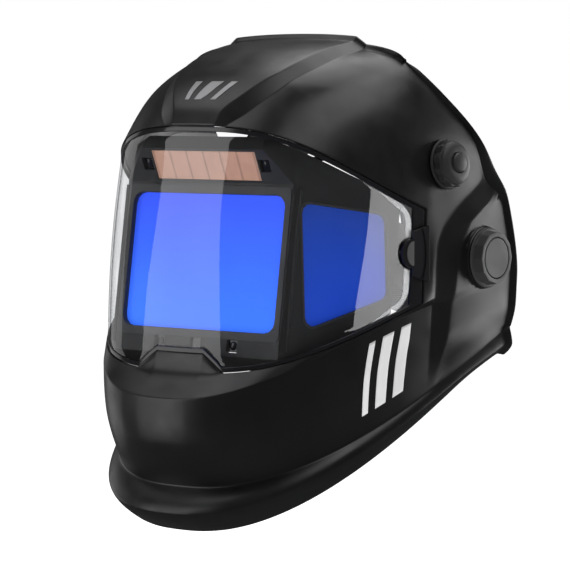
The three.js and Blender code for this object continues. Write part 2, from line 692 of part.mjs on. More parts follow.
// Control box behind the hood, facing the wearer.
const BOX = { half: 58, front: -126.5, back: -107, bottom: 53, top: 74, wall: 2 };
const TRAY = { x: 42, half: 10.5, front: -124.5, bottom: 56.5, top: 64.5 };
const CELL = { radius: 8, thick: 3.2 };
const BUTTONS = [['menu_button', -12], ['down_button', 0], ['up_button', 12]];
const BUTTON_Z = 59;
const DISPLAY = { half: 15, bottom: 63.5, top: 71 };

function makeControlBox() {
  const { half, front, back, bottom, top, wall } = BOX;
  let box = block(-half, half, front, back, bottom, top);
  box = box.subtract(block(-half + wall, half - wall, front - 1, back - wall, bottom + wall, top - wall));
  [TRAY.x, -TRAY.x].forEach((x) => {
    box = box.subtract(block(x - TRAY.half, x + TRAY.half, back - 5, back + 1, TRAY.bottom, TRAY.top));
  });
  BUTTONS.forEach(([, x]) => {
    box = box.subtract(disc(buttonFrame(x), 3.4, -5, 3, 20));
  });
  return box.subtract(block(-DISPLAY.half, DISPLAY.half, back - 5, back + 1, DISPLAY.bottom, DISPLAY.top));
}

const buttonFrame = (x) => frameAt(vec(x, BOX.back, BUTTON_Z), vec(-1, 0, 0), vec(0, 1, 0));

const BUTTON_PROFILE = [
  [0, -4.4], [3.9, -4.4], [3.9, -3.4], [3.1, -3.4], [3.1, 1.2], [2.4, 1.6], [0, 1.7],
];

const makeButton = (x) => turned(buttonFrame(x), BUTTON_PROFILE, 20);

function makeDisplay() {
  const { half, bottom, top } = DISPLAY;
  const glass = block(-half + 0.3, half - 0.3, BOX.back - 2.2, BOX.back - 0.5, bottom + 0.3, top - 0.3);
  return glass.add(block(-half - 1, half + 1, BOX.back - 4, BOX.back - 2.1, bottom - 0.5, top + 0.5));
}

function makeBoard() {
  let board = block(-29, 29, -124.5, -122.9, 56, 71);
  [[-18, 7], [2, 5], [20, 6]].forEach(([x, half]) => {
    board = board.add(block(x - half, x + half, -123, -121.2, 63.5 - half * 0.7, 63.5 + half * 0.7));
  });
  return board;
}

// Battery drawer, open on top, with a finger lip outside the box.
function makeTray(x) {
  const { half, front, bottom, top } = TRAY;
  const gap = 0.3;
  const body = block(x - half + gap, x + half - gap, front, BOX.back + 0.8, bottom + gap, top - 1.5);
  const face = block(x - half + gap, x + half - gap, BOX.back - 0.8, BOX.back + 0.8, bottom + gap, top - gap);
  const lip = block(x - 5, x + 5, BOX.back + 0.7, BOX.back + 2.2, bottom + 1.5, bottom + 3.5);
  const seat = frameAt(cellCentre(x), vec(1, 0, 0), vec(0, 0, 1));
  return body.add(face).add(lip).subtract(disc(seat, CELL.radius + 0.3, -0.3, 12, 28));
}

const cellCentre = (x) => vec(x, TRAY.front + CELL.radius + 1.1, TRAY.bottom + 1.8);

function makeCell(x) {
  const { radius, thick } = CELL;
  const frame = frameAt(cellCentre(x), vec(1, 0, 0), vec(0, 0, 1));
  const profile = [[0, 0], [radius - 0.8, 0], [radius, 0.6], [radius, thick], [0, thick]];
  return turned(frame, profile, 28);
}

// ---------------------------------------------------------------- shade control

function makeKnobBase() {
  return turned(knobFrame(), [[5.2, 0.6], [16.6, 0.6], [16.6, 1.6], [15.6, 2.3], [5.2, 2.3]], 32);
}

function makeShadeKnob() {
  const frame = knobFrame();
  const grip = prism(frame, lobed(15.7, 1.3, 12, 4), 2.7, 7.6);
  const dome = turned(frame, [[0, 7.5], [14.3, 7.5], [13.6, 9.2], [11.8, 10.6], [9.4, 11.3], [0, 11.3]], 36);
  const bore = turned(frame, [[0, 2], [2.7, 2], [2.7, 5.2], [7, 5.2], [7, 12], [0, 12]], 28);
  return grip.add(dome).subtract(bore);
}

function makeGrindButton() {
  const profile = [
    [0, 3.8], [2.2, 3.8], [2.2, 6.8], [6.5, 6.8], [6.5, 12.3], [5.6, 13.2], [3, 13.8], [0, 14],
  ];
  return turned(knobFrame(), profile, 28);
}

function makePotentiometer() {
  const frame = knobFrame();
  const body = turned(frame, [[0, -14], [10.5, -14], [10.5, -4.2], [4.3, -4.2], [4.3, 2], [0, 2]], 24);
  return body.add(prism(frame, rectangle(4, 4), -16.5, -13.9));
}

function makeCable() {
  const frame = knobFrame();
  const start = frame.origin.clone().addScaledVector(frame.out, -18.5);
  const path = new THREE.CatmullRomCurve3([
    start,
    start.clone().addScaledVector(frame.out, -3).add(vec(0, -4, 1)),
    vec(94, -62, 67), vec(84, -84, 68), vec(70, -103, 66), vec(63, -110, 65), vec(59.8, -114, 65),
  ]);
  const circle = Array.from({ length: 8 }, (_, i) => (
    new THREE.Vector2(1.7 * Math.cos((i * Math.PI) / 4), 1.7 * Math.sin((i * Math.PI) / 4))
  ));
  return solidOf(new THREE.ExtrudeGeometry(new THREE.Shape(circle), { steps: 26, extrudePath: path }));
}

// ---------------------------------------------------------------- tilt pivots, mirrored for the right

const PIVOT = sideFrame(1);

function makeTensionKnob() {
  const grip = new THREE.CylinderGeometry(17.2, 18, 7, 12);
  grip.rotateX(Math.PI / 2);
  grip.translate(0, 0, 132.1);
  grip.applyMatrix4(placed(PIVOT));
  return solidOf(grip)
    .add(turned(PIVOT, [[0, 127.7], [19.8, 127.7], [20, 128.3], [18.6, 128.9], [0, 128.9]], 36))
    .subtract(disc(PIVOT, 13.7, 134.3, 140, 32))
    .subtract(disc(PIVOT, 4.4, 120, 132.6, 20));
}

const CAP_PROFILE = [[0, 134.6], [13.3, 134.6], [13.3, 135.3], [12.8, 135.6], [0, 135.6]];

const makeKnobCap = () => turned(PIVOT, CAP_PROFILE, 32);

const makeBolt = () => (
  disc(PIVOT, 7, 108, 110.7, 24).add(disc(PIVOT, 4, 110.5, 132.2, 20))
);

const makeWasher = () => turned(PIVOT, [[4.4, 117.1], [15, 117.1], [15, 118.7], [4.4, 118.7]], 28);

function makeAngleDisc() {
  const wheel = prism(PIVOT, lobed(18, 1, 18, 2), 114.3, 116.8);
  const pointer = prism(PIVOT, [[-4, 14], [4, 14], [3, 24], [-3, 24]], 114.3, 116.8);
  return wheel.add(pointer).subtract(disc(PIVOT, 4.4, 110, 120, 20));
}

// Hat-shaped bracket from the pivot in to two feet that slide along the headband.
function makeArm() {
  const wall = 2.8;
  const [outX, footX] = [114, BAND.half + BAND.thick / 2 + 0.4 + wall];
  const half = [[-53, footX - wall], [-53, footX], [-35.2, footX], [-19, outX], [-19 + wall / 2, outX]];
  const under = [[-16, outX - wall - 0.2], [-32.4, footX - wall]];
  const outline = [
    ...half, ...half.slice().reverse().map(([y, x]) => [-y, x]),
    ...under.slice().reverse().map(([y, x]) => [-y, x]), ...under,
  ];
  const flat = frameAt(vec(0, 0, 0), vec(0, 1, 0), vec(0, 0, -1));
  const bar = prism(flat, outline, -11, 11);
  const hub = disc(PIVOT, 15, outX - wall, outX, 28);
  const slotFrame = frameAt(vec(footX, 0, 0), vec(0, 1, 0), vec(1, 0, 0));
  const slot = (from, to) => (
    prism(slotFrame, rounded([[from, -2.6], [to, -2.6], [to, 2.6], [from, 2.6]], 2.5), -wall - 1, 1)
  );
  return bar.add(hub)
    .subtract(disc(PIVOT, 4.4, 100, 120, 20))
    .subtract(slot(-51.3, -38.3))
    .subtract(slot(38.3, 51.3));
}

// ---------------------------------------------------------------- headgear

// Middle line of the headband from the forehead round to one end at the back.
function bandPath() {
  const path = [];
  const front = 8;
  for (let i = 0; i < front; i += 1) {
    const angle = (i / front) * (Math.PI / 2);
    const depth = BAND.sideFrontY - BAND.frontY;
    path.push([BAND.half * Math.sin(angle) ** 0.87, BAND.sideFrontY - depth * Math.cos(angle) ** 0.87]);
  }
  [BAND.sideFrontY, -35, -12, 12, 35].forEach((y) => path.push([BAND.half, y]));
  const rear = 7;
  const bend = 52;
  for (let i = 0; i <= rear; i += 1) {
    const angle = (i / rear) * (Math.PI / 2);
    const depth = BAND.rearY - BAND.sideRearY;
    path.push([bend + (BAND.half - bend) * Math.cos(angle), BAND.sideRearY + depth * Math.sin(angle)]);
  }
  path.push([BAND.endX, BAND.rearY]);
  return path;
}

const BAND_HEIGHT = [
  [-96, 36], [-75, 34], [-52, 4], [-35, 0], [40, 0], [60, -5], [95, -28], [116, RATCHET.centreZ],
];
const BAND_UP = [[-96, 14], [-75, 15], [-50, 22], [45, 22], [75, 14], [116, 11]];

// Strip that follows the headband: offsets in from its middle line, height scaled by a factor.
function bandStrip(path, outer, inner, tall) {
  const whole = [...path.slice(1).reverse().map(([x, y]) => [-x, y]), ...path];
  const points = [];
  [-1, 0, 1].forEach((edge) => whole.forEach(([x, y]) => {
    points.push(vec(x, y, interpolate(BAND_HEIGHT, y) + edge * tall * interpolate(BAND_UP, y)));
  }));
  return sheetSolid(points, gridFaces(3, whole.length), outer, inner);
}

function makeHeadband() {
  const band = bandStrip(bandPath(), BAND.thick / 2, -BAND.thick / 2, 1);
  const pinHole = (side, y) => disc(frameAt(vec(0, y, 0), vec(0, side, 0), vec(side, 0, 0)), 2.3, 75, 92, 16);
  return band.subtract(pinHole(1, -44.8)).subtract(pinHole(-1, -44.8));
}

const makeSweatband = () => {
  const face = -BAND.thick / 2;
  return bandStrip(bandPath().slice(0, 8), face - 0.4, face - 7, 1.12);
};

const makeSlidePin = () => {
  const frame = frameAt(vec(0, -44.8, 0), vec(0, 1, 0), vec(1, 0, 0));
  return turned(frame, [[0, 81], [2, 81], [2, 88.7], [4.6, 88.7], [4.6, 90], [3.4, 90.8], [0, 90.9]], 20);
};

// One half of an overhead strap, its free end lying over or under the other half at the top.
function makeStrapHalf(y, top, over) {
  const [half, low, width] = [81.3, 2, 9];
  const points = [];
  const steps = 14;
  for (let i = 0; i <= steps; i += 1) {
    const angle = THREE.MathUtils.lerp(radians(-14), Math.PI / 2, i / steps);
    const lift = over ? 2.5 * (1 - THREE.MathUtils.smoothstep(angle, radians(22), radians(48))) : 0;
    const middle = vec((half + lift) * Math.sin(angle), y, low + (top - low + lift) * Math.cos(angle));
    points.push(middle);
  }
  const grid = [-width, width].flatMap((edge) => points.map((p) => vec(p.x, p.y + edge, p.z)));
  const strap = sheetSolid(grid, gridFaces(2, points.length), 1, -1);
  return strap.subtract(disc(frameAt(vec(0, y, 0), vec(1, 0, 0), vec(0, 0, 1)), 2.4, 90, 120, 16));
}

function makeStrapPin(y, top) {
  const frame = frameAt(vec(0, y, top), vec(1, 0, 0), vec(0, 0, 1));
  return turned(frame, [[0, -2.5], [2, -2.5], [2, 3.9], [5, 3.9], [5, 5.2], [3.6, 6], [0, 6]], 20);
}

function makeRatchetHousing() {
  const [y0, y1] = RATCHET.y;
  const frame = frameAt(vec(0, y0, RATCHET.centreZ), vec(-1, 0, 0), vec(0, 1, 0));
  return prism(frame, rounded(rectangle(RATCHET.half, RATCHET.up), 6), 0, y1 - y0)
    .subtract(block(-60, 60, 110.5, 113.5, RATCHET.centreZ - 12, RATCHET.centreZ + 12))
    .subtract(disc(frame, 3.4, 5, 20, 20));
}

const RATCHET_FRAME = frameAt(vec(0, 0, RATCHET.centreZ), vec(-1, 0, 0), vec(0, 1, 0));

const makePinion = () => (
  prism(RATCHET_FRAME, lobed(4.6, 0.9, 9, 4), 110.9, 113.1).add(disc(RATCHET_FRAME, 3, 113, 124, 20))
);

function makeRatchetKnob() {
  const grip = prism(RATCHET_FRAME, lobed(22, 1.6, 16, 4), 118.6, 130);
  const face = turned(RATCHET_FRAME, [[0, 129.9], [20, 129.9], [18.5, 132.5], [12, 133.6], [0, 133.8]], 32);
  return grip.add(face).subtract(disc(RATCHET_FRAME, 3.3, 118, 124.4, 20));
}

// Toothed tail of the headband: a wide end outside and a narrow rack above the pinion.
function makeTail() {
  const rackTop = RATCHET.centreZ + 11.4;
  const rackFoot = RATCHET.centreZ + RATCHET.pitch + 0.2;
  const teeth = [];
  const toothUp = 0.8;
  for (let x = -26; x < 38; x += 4) {
    teeth.push([x, rackFoot], [x + 1, rackFoot + toothUp], [x + 2, rackFoot + toothUp], [x + 3, rackFoot]);
  }
  const endFoot = RATCHET.centreZ - 4;
  const outline = [
    [-28, rackTop], [-28, rackFoot], ...teeth,
    [40, rackFoot], [40, endFoot], [54, endFoot], [54, rackTop],
  ];
  const frame = frameAt(vec(0, 0, 0), vec(1, 0, 0), vec(0, -1, 0));
  return prism(frame, outline, -113, -111);
}

function makeRearPad() {
  const frame = frameAt(vec(0, 99, RATCHET.centreZ), vec(-1, 0, 0), vec(0, 1, 0));
  return prism(frame, rounded(rectangle(36, 17), 9, 4), 0, 7.6);
}

// ---------------------------------------------------------------- assembly

const helmet = new THREE.Group();
helmet.name = 'welding_helmet';

function put(name, solid, look) {
  const mesh = new THREE.Mesh(geometryOf(solid), looks[look]());
  mesh.name = name;
  helmet.add(mesh);
}

function putPair(name, solid, look) {
  put(`${name}_left`, solid, look);
  put(`${name}_right`, mirrored(solid), look);
}

put('shell', makeShell(), 'shell');
put('lens_bezel', makeBezel(), 'gloss');
put('cover_lens', makeCover(), 'clear');
putPair('cover_latch', makeLatch(), 'gloss');

put('cartridge_housing', makeHousing(), 'housing');
put('front_filter', makeFrontFilter(), 'filter');
putPair('side_filter', makeSideFilter(), 'filter');
put('rear_frame', makeRearFrame(), 'inner');
put('inner_cover_plate', makeInnerCover(), 'clear');
put('solar_panel', makeSolar(), 'solar');
const [upperLeft, upperRight, lowerLeft, lowerRight, infrared] = sensorFrames();
put('upper_sensor_left', makeSensor(upperLeft), 'sensor');
put('upper_sensor_right', makeSensor(upperRight), 'sensor');
put('lower_sensor_left', makeSensor(lowerLeft), 'sensor');
put('lower_sensor_right', makeSensor(lowerRight), 'sensor');
put('infrared_window', makeWindow(infrared), 'sensor');

put('control_box', makeControlBox(), 'inner');
put('circuit_board', makeBoard(), 'board');
put('display_panel', makeDisplay(), 'display');
BUTTONS.forEach(([name, x]) => put(name, makeButton(x), 'button'));
put('battery_tray_left', makeTray(TRAY.x), 'nylon');
put('battery_tray_right', makeTray(-TRAY.x), 'nylon');
put('coin_cell_left', makeCell(TRAY.x), 'steel');
put('coin_cell_right', makeCell(-TRAY.x), 'steel');

put('shade_knob_base', makeKnobBase(), 'inner');
put('shade_knob', makeShadeKnob(), 'nylon');
put('grind_button', makeGrindButton(), 'nylon');
put('potentiometer', makePotentiometer(), 'steel');
put('control_cable', makeCable(), 'rubber');

putPair('tension_knob', makeTensionKnob(), 'nylon');
putPair('knob_cap', makeKnobCap(), 'nylon');
putPair('pivot_bolt', makeBolt(), 'steel');
putPair('pivot_washer', makeWasher(), 'rubber');
putPair('angle_disc', makeAngleDisc(), 'nylon');
putPair('side_arm', makeArm(), 'nylon');
putPair('slide_pin', makeSlidePin(), 'nylon');

put('headband', makeHeadband(), 'nylon');
put('sweatband', makeSweatband(), 'foam');
[['front', -20, 102], ['rear', 36, 98]].forEach(([name, y, top]) => {
  put(`${name}_strap_left`, makeStrapHalf(y, top, false), 'nylon');
  put(`${name}_strap_right`, mirrored(makeStrapHalf(y, top, true)), 'nylon');
  put(`${name}_strap_pin`, makeStrapPin(y, top), 'nylon');
});
put('ratchet_housing', makeRatchetHousing(), 'nylon');
put('pinion', makePinion(), 'nylon');
put('ratchet_knob', makeRatchetKnob(), 'nylon');
put('band_tail_left', makeTail(), 'nylon');
put('band_tail_right', makeTail().mirror([1, 0, 0]).translate([0, 0, -RATCHET.centreZ]).mirror([0, 0, 1])
  .translate([0, 0, RATCHET.centreZ]), 'nylon');
put('rear_pad', makeRearPad(), 'foam');

export default helmet;
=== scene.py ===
"""Looks of the welding helmet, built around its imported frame.

Lengths are metres unless a name ends in _MM. +X is the wearer's left, the helmet faces -Y, +Z is up,
and the origin is the middle of the tilt pivot axis.
"""
import math

import bpy
import numpy as np
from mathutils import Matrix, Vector


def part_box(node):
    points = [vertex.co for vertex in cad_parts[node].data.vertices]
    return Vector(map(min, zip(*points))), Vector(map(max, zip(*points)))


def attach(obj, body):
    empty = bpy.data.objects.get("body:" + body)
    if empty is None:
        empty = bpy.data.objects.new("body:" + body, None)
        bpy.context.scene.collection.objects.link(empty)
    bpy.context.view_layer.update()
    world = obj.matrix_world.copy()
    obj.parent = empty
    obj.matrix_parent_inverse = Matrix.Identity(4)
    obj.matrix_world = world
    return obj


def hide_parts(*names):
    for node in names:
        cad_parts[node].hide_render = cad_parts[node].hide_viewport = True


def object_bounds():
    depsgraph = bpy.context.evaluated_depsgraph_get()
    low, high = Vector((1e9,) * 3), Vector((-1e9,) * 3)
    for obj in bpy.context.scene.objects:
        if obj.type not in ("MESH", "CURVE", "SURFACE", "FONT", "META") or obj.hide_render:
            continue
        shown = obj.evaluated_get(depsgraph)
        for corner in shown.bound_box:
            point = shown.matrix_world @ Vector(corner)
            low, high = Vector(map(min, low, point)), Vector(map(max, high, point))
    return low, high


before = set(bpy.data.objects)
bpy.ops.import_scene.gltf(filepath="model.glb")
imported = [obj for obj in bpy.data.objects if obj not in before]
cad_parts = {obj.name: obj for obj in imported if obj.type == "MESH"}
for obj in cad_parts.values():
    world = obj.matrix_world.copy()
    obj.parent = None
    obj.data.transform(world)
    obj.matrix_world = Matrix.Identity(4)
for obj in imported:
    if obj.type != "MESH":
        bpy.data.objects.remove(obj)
cad_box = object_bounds()
MM = 0.001


# ---------------------------------------------------------------- camera, floor and light


def direction(azimuth, elevation):
    """Unit vector from the helmet towards a compass place: 0 is in front of it, 90 on the wearer's left."""
    a, e = math.radians(azimuth), math.radians(elevation)
    return Vector((math.sin(a) * math.cos(e), -math.cos(a) * math.cos(e), math.sin(e)))


def place_in_room(obj, azimuth, elevation, distance):
    """Puts a camera or lamp at a compass place round the helmet, looking at it."""
    away = direction(azimuth, elevation)
    obj.location = Vector(CAMERA_TARGET) + away * distance
    obj.rotation_euler = (-away).to_track_quat("-Z", "Y").to_euler()


def link(obj):
    bpy.context.scene.collection.objects.link(obj)
    return obj


CAMERA_TARGET = (0, -0.054, -0.0206)
CAMERA_AZIMUTH, CAMERA_ELEVATION, CAMERA_DISTANCE = 39.4, 3.66, 2.046
CAMERA_LENS_MM, SENSOR_MM = 192.6, 36
FLOOR_DROP, FLOOR_SIZE = 0.22, 60
ROOM_GLOW = (0.06, 0.06, 0.062)

# Name, azimuth, elevation, distance, width, height, radiance, roll.
SOFTBOXES = [
    ("front_softbox", -38, 6, 1.6, 0.62, 1.7, 2.0, 0),
    ("cover_softbox", 117, 2, 1.6, 1.15, 1.9, 4.6, -38),
    ("side_softbox", 158, -1, 1.6, 1.1, 0.9, 4.2, 0),
    ("left_softbox", -92, 2, 1.8, 0.9, 1.5, 0.75, 0),
    ("upper_left_softbox", -65, 58, 1.8, 1.1, 0.8, 1.4, 0),
    ("top_softbox", 90, 62, 1.8, 1.7, 1.1, 2.0, 0),
    ("back_softbox", 195, 62, 2.0, 1.8, 1.3, 2.2, 0),
]


def make_camera():
    camera = link(bpy.data.objects.new("camera", bpy.data.cameras.new("camera")))
    camera.data.lens = CAMERA_LENS_MM
    camera.data.sensor_width = SENSOR_MM
    place_in_room(camera, CAMERA_AZIMUTH, CAMERA_ELEVATION, CAMERA_DISTANCE)
    bpy.context.scene.camera = camera


def softbox(name, azimuth, elevation, distance, width, height, radiance, roll):
    """Rectangular lamp of even brightness, given as the radiance of its face."""
    lamp = bpy.data.lights.new(name, "AREA")
    lamp.shape = "RECTANGLE"
    lamp.size = width
    lamp.size_y = height
    lamp.energy = radiance * math.pi * width * height
    obj = link(bpy.data.objects.new(name, lamp))
    place_in_room(obj, azimuth, elevation, distance)
    obj.rotation_euler.rotate_axis("Z", math.radians(roll))


def make_studio():
    for lamp in SOFTBOXES:
        softbox(*lamp)
    world = bpy.data.worlds.new("studio")
    bpy.context.scene.world = world
    world.use_nodes = True
    nodes, links = world.node_tree.nodes, world.node_tree.links
    background = nodes["Background"]
    seen = nodes.new("ShaderNodeBackground")
    seen.inputs["Color"].default_value = (1, 1, 1, 1)
    background.inputs["Color"].default_value = (*ROOM_GLOW, 1)
    path = nodes.new("ShaderNodeLightPath")
    mix = nodes.new("ShaderNodeMixShader")
    links.new(path.outputs["Is Camera Ray"], mix.inputs["Fac"])
    links.new(background.outputs["Background"], mix.inputs[1])
    links.new(seen.outputs["Background"], mix.inputs[2])
    links.new(mix.outputs["Shader"], nodes["World Output"].inputs["Surface"])
    bpy.context.scene.view_settings.view_transform = "Standard"


def make_floor():
    height = cad_box[0][2] - FLOOR_DROP
    corners = [(x, y, height) for x, y in rectangle(FLOOR_SIZE, FLOOR_SIZE)]
    floor = mesh_object("floor", corners, [(0, 1, 2, 3)])
    paper = Material("floor_paper")
    paper.base(paper.mottled((0.93, 0.93, 0.93), (0.96, 0.96, 0.96), 3))
    paper.set(roughness=0.9, specular=0.1, glow=(1, 1, 1), glow_strength=1.0)
    paste(floor, paper)
    floor.visible_glossy = False


# ---------------------------------------------------------------- procedural materials


class Material:
    """A Principled material with short calls for the node work that the helmet's finishes share."""

    SOCKETS = {
        "roughness": "Roughness", "metallic": "Metallic", "specular": "Specular IOR Level",
        "coat": "Coat Weight", "coat_roughness": "Coat Roughness", "sheen": "Sheen Weight",
        "sheen_roughness": "Sheen Roughness", "glow_strength": "Emission Strength", "alpha": "Alpha",
    }

    def __init__(self, name):
        self.data = bpy.data.materials.new(name)
        self.data.use_nodes = True
        self.nodes = self.data.node_tree.nodes
        self.links = self.data.node_tree.links
        self.shader = self.nodes["Principled BSDF"]
        self.place = self.nodes.new("ShaderNodeTexCoord").outputs["Object"]

    def set(self, glow=None, **values):
        for name, value in values.items():
            self.shader.inputs[self.SOCKETS[name]].default_value = value
        if glow:
            self.shader.inputs["Emission Color"].default_value = (*glow, 1)

    def noise(self, scale, detail=3.0, stretch=(1, 1, 1)):
        mapping = self.nodes.new("ShaderNodeMapping")
        mapping.inputs["Scale"].default_value = stretch
        self.links.new(self.place, mapping.inputs["Vector"])
        texture = self.nodes.new("ShaderNodeTexNoise")
        texture.inputs["Scale"].default_value = scale
        texture.inputs["Detail"].default_value = detail
        self.links.new(mapping.outputs["Vector"], texture.inputs["Vector"])
        return texture.outputs["Fac"]

    def ramp(self, factor, low, high, start=0.3, end=0.7):
        node = self.nodes.new("ShaderNodeValToRGB")
        self.links.new(factor, node.inputs["Fac"])
        first, last = node.color_ramp.elements
        first.position, last.position = start, end
        first.color, last.color = (*low, 1), (*high, 1)
        return node.outputs["Color"]

    def mottled(self, low, high, scale, detail=3.0):
        return self.ramp(self.noise(scale, detail), low, high)

    def span(self, factor, low, high, start=0.0, end=1.0):
        node = self.nodes.new("ShaderNodeMapRange")
        self.links.new(factor, node.inputs["Value"])
        for name, value in (("From Min", start), ("From Max", end), ("To Min", low), ("To Max", high)):
            node.inputs[name].default_value = value
        return node.outputs["Result"]

    def along(self, axis):
        node = self.nodes.new("ShaderNodeSeparateXYZ")
        self.links.new(self.place, node.inputs["Vector"])
        return node.outputs[axis]

    def mix(self, factor, first, second):
        node = self.nodes.new("ShaderNodeMix")
        node.data_type = "RGBA"
        sockets = (node.inputs["Factor"], node.inputs[6], node.inputs[7])
        for socket, value in zip(sockets, (factor, first, second)):
            if isinstance(value, bpy.types.NodeSocket):
                self.links.new(value, socket)
            else:
                socket.default_value = value if isinstance(value, float) else (*value, 1)
        return node.outputs[2]

    def combine(self, operation, first, second):
        node = self.nodes.new("ShaderNodeMath")
        node.operation = operation
        for socket, value in zip(node.inputs, (first, second)):
            if isinstance(value, float):
                socket.default_value = value
            else:
                self.links.new(value, socket)
        return node.outputs["Value"]

    def base(self, color):
        self.links.new(color, self.shader.inputs["Base Color"])

    def rough(self, value):
        self.links.new(value, self.shader.inputs["Roughness"])

    def bump(self, height, strength, distance=0.0002):
        node = self.nodes.new("ShaderNodeBump")
        node.inputs["Strength"].default_value = strength
        node.inputs["Distance"].default_value = distance
        self.links.new(height, node.inputs["Height"])
        self.links.new(node.outputs["Normal"], self.shader.inputs["Normal"])

    def with_painted_edge_highlight(self, color, edge, amount):
        """Lightens the raised edges of a colour: a painted highlight along them."""
        pointed = self.nodes.new("ShaderNodeNewGeometry").outputs["Pointiness"]
        return self.mix(self.span(pointed, 0, amount, 0.53, 0.62), color, edge)


def moulded(name, low, high, roughness, grain, strength, edge, specular):
    """Moulded plastic: slightly uneven colour and gloss, with a fine grain and maybe a painted highlight
    along its raised edges.
    """
    material = Material(name)
    color = material.mottled(low, high, 18)
    # Where an edge colour is given, raised edges get it as a painted highlight.
    material.base(material.with_painted_edge_highlight(color, edge, 0.35) if edge else color)
    material.rough(material.span(material.noise(60, 4), roughness - 0.05, roughness + 0.06, 0.3, 0.7))
    material.bump(material.noise(grain, 2), strength)
    material.set(specular=specular)
    return material


def make_clear_cover():
    """Thin polycarbonate: it lets nearly all light straight through and reflects the rest."""
    material = Material("clear_cover")
    nodes, links = material.nodes, material.links
    clear = nodes.new("ShaderNodeBsdfTransparent")
    clear.inputs["Color"].default_value = (0.97, 0.975, 0.98, 1)
    gloss = nodes.new("ShaderNodeBsdfGlossy")
    gloss.inputs["Roughness"].default_value = 0.012
    fresnel = nodes.new("ShaderNodeFresnel")
    fresnel.inputs["IOR"].default_value = 1.6
    smear = material.span(material.noise(14, 5), 0.0, 0.008, 0.45, 0.75)
    haze = material.combine("ADD", fresnel.outputs["Fac"], smear)
    inner_side = nodes.new("ShaderNodeNewGeometry").outputs["Backfacing"]
    share = material.combine("MULTIPLY", haze, material.combine("SUBTRACT", 1.0, inner_side))
    mix = nodes.new("ShaderNodeMixShader")
    links.new(share, mix.inputs["Fac"])
    links.new(clear.outputs["BSDF"], mix.inputs[1])
    links.new(gloss.outputs["BSDF"], mix.inputs[2])
    links.new(mix.outputs["Shader"], nodes["Material Output"].inputs["Surface"])
    nodes.remove(material.shader)
    return material


def make_cover_flange():
    """The cover's moulded border, a little milky where it is thicker."""
    material = Material("cover_flange")
    material.base(material.mottled((0.72, 0.73, 0.74), (0.85, 0.86, 0.87), 40))
    material.set(roughness=0.25, alpha=0.18)
    material.bump(material.noise(500, 2), 0.05)
    return material


def make_filter_glass_with_painted_light(name, top, bottom, low_z, high_z, glow):
    """Coated filter glass, blue, with painted light: the colour lightens towards the bottom as a painted
    reflection, and its emission gives a painted glow though the glass is no lamp.
    """
    material = Material(name)
    height = material.span(material.along("Z"), 0, 1, low_z, high_z)
    # Painted reflection: the blue is lighter towards the bottom.
    color = material.ramp(height, bottom, top, 0.0, 0.9)
    cloud = material.mix(0.06, color, material.mottled((0.02, 0.1, 0.6), (0.2, 0.4, 1.0), 9))
    material.base(cloud)
    # Painted glow: the glass emits its own blue.
    material.links.new(cloud, material.shader.inputs["Emission Color"])
    material.set(roughness=0.3, glow_strength=glow, specular=0.08)
    return material


def make_solar():
    """Amorphous solar cell: copper brown with fine dividing lines."""
    material = Material("solar_cell")
    wave = material.nodes.new("ShaderNodeTexWave")
    wave.bands_direction = "X"
    wave.inputs["Scale"].default_value = 22
    material.links.new(material.place, wave.inputs["Vector"])
    lines = material.ramp(wave.outputs["Fac"], (0.24, 0.12, 0.075), (0.62, 0.34, 0.23), 0.0, 0.06)
    material.base(material.mix(0.5, lines, material.mottled((0.52, 0.28, 0.19), (0.66, 0.38, 0.27), 120)))
    material.set(roughness=0.28, coat=0.35, coat_roughness=0.08)
    material.bump(material.noise(800, 2), 0.05)
    return material


def make_weave(name, low, high):
    """Knitted towelling: two crossed waves for the loops, with a soft sheen."""
    material = Material(name)
    waves = []
    for axis in ("X", "Z"):
        wave = material.nodes.new("ShaderNodeTexWave")
        wave.bands_direction = axis
        wave.inputs["Scale"].default_value = 230
        wave.inputs["Distortion"].default_value = 1.5
        material.links.new(material.place, wave.inputs["Vector"])
        waves.append(wave.outputs["Fac"])
    loops = material.combine("MULTIPLY", *waves)
    knit = material.ramp(loops, low, high, 0.1, 0.8)
    material.base(material.mix(0.5, knit, material.mottled(low, high, 70)))
    material.set(roughness=0.95, sheen=0.5, sheen_roughness=0.4, specular=0.2)
    material.bump(loops, 0.8, 0.0006)
    return material


def make_metal(name, low, high, roughness):
    material = Material(name)
    material.base(material.mottled(low, high, 40))
    brushed = material.noise(300, 3, (1, 1, 0.05))
    material.rough(material.span(brushed, roughness, roughness + 0.15, 0.3, 0.7))
    material.set(metallic=1.0)
    material.bump(material.noise(900, 2), 0.08)
    return material


def make_board():
    material = Material("circuit_board")
    tracks = material.noise(260, 0)
    material.base(material.ramp(tracks, (0.012, 0.09, 0.035), (0.03, 0.16, 0.06), 0.46, 0.5))
    material.set(roughness=0.4, coat=0.3)
    material.bump(tracks, 0.2)
    return material


def make_display():
    material = Material("display")
    material.base(material.mottled((0.2, 0.25, 0.19), (0.26, 0.31, 0.24), 30))
    material.set(roughness=0.12, coat=0.5, coat_roughness=0.05)
    material.bump(material.noise(600, 1), 0.02)
    return material


# ---------------------------------------------------------------- mesh helpers


def mesh_object(name, points, faces, smooth=True):
    mesh = bpy.data.meshes.new(name)
    mesh.from_pydata([tuple(p) for p in points], [], [tuple(f) for f in faces])
    mesh.validate()
    mesh.polygons.foreach_set("use_smooth", [smooth] * len(mesh.polygons))
    return link(bpy.data.objects.new(name, mesh))


def paste(obj, *materials):
    obj.data.materials.clear()
    for material in materials:
        obj.data.materials.append(material.data)


def every_cell(row, column):
    return True


def grid_faces(rows, columns, keep=every_cell):
    return [
        (r * columns + c, r * columns + c + 1, (r + 1) * columns + c + 1, (r + 1) * columns + c)
        for r in range(rows - 1) for c in range(columns - 1) if keep(r, c)
    ]


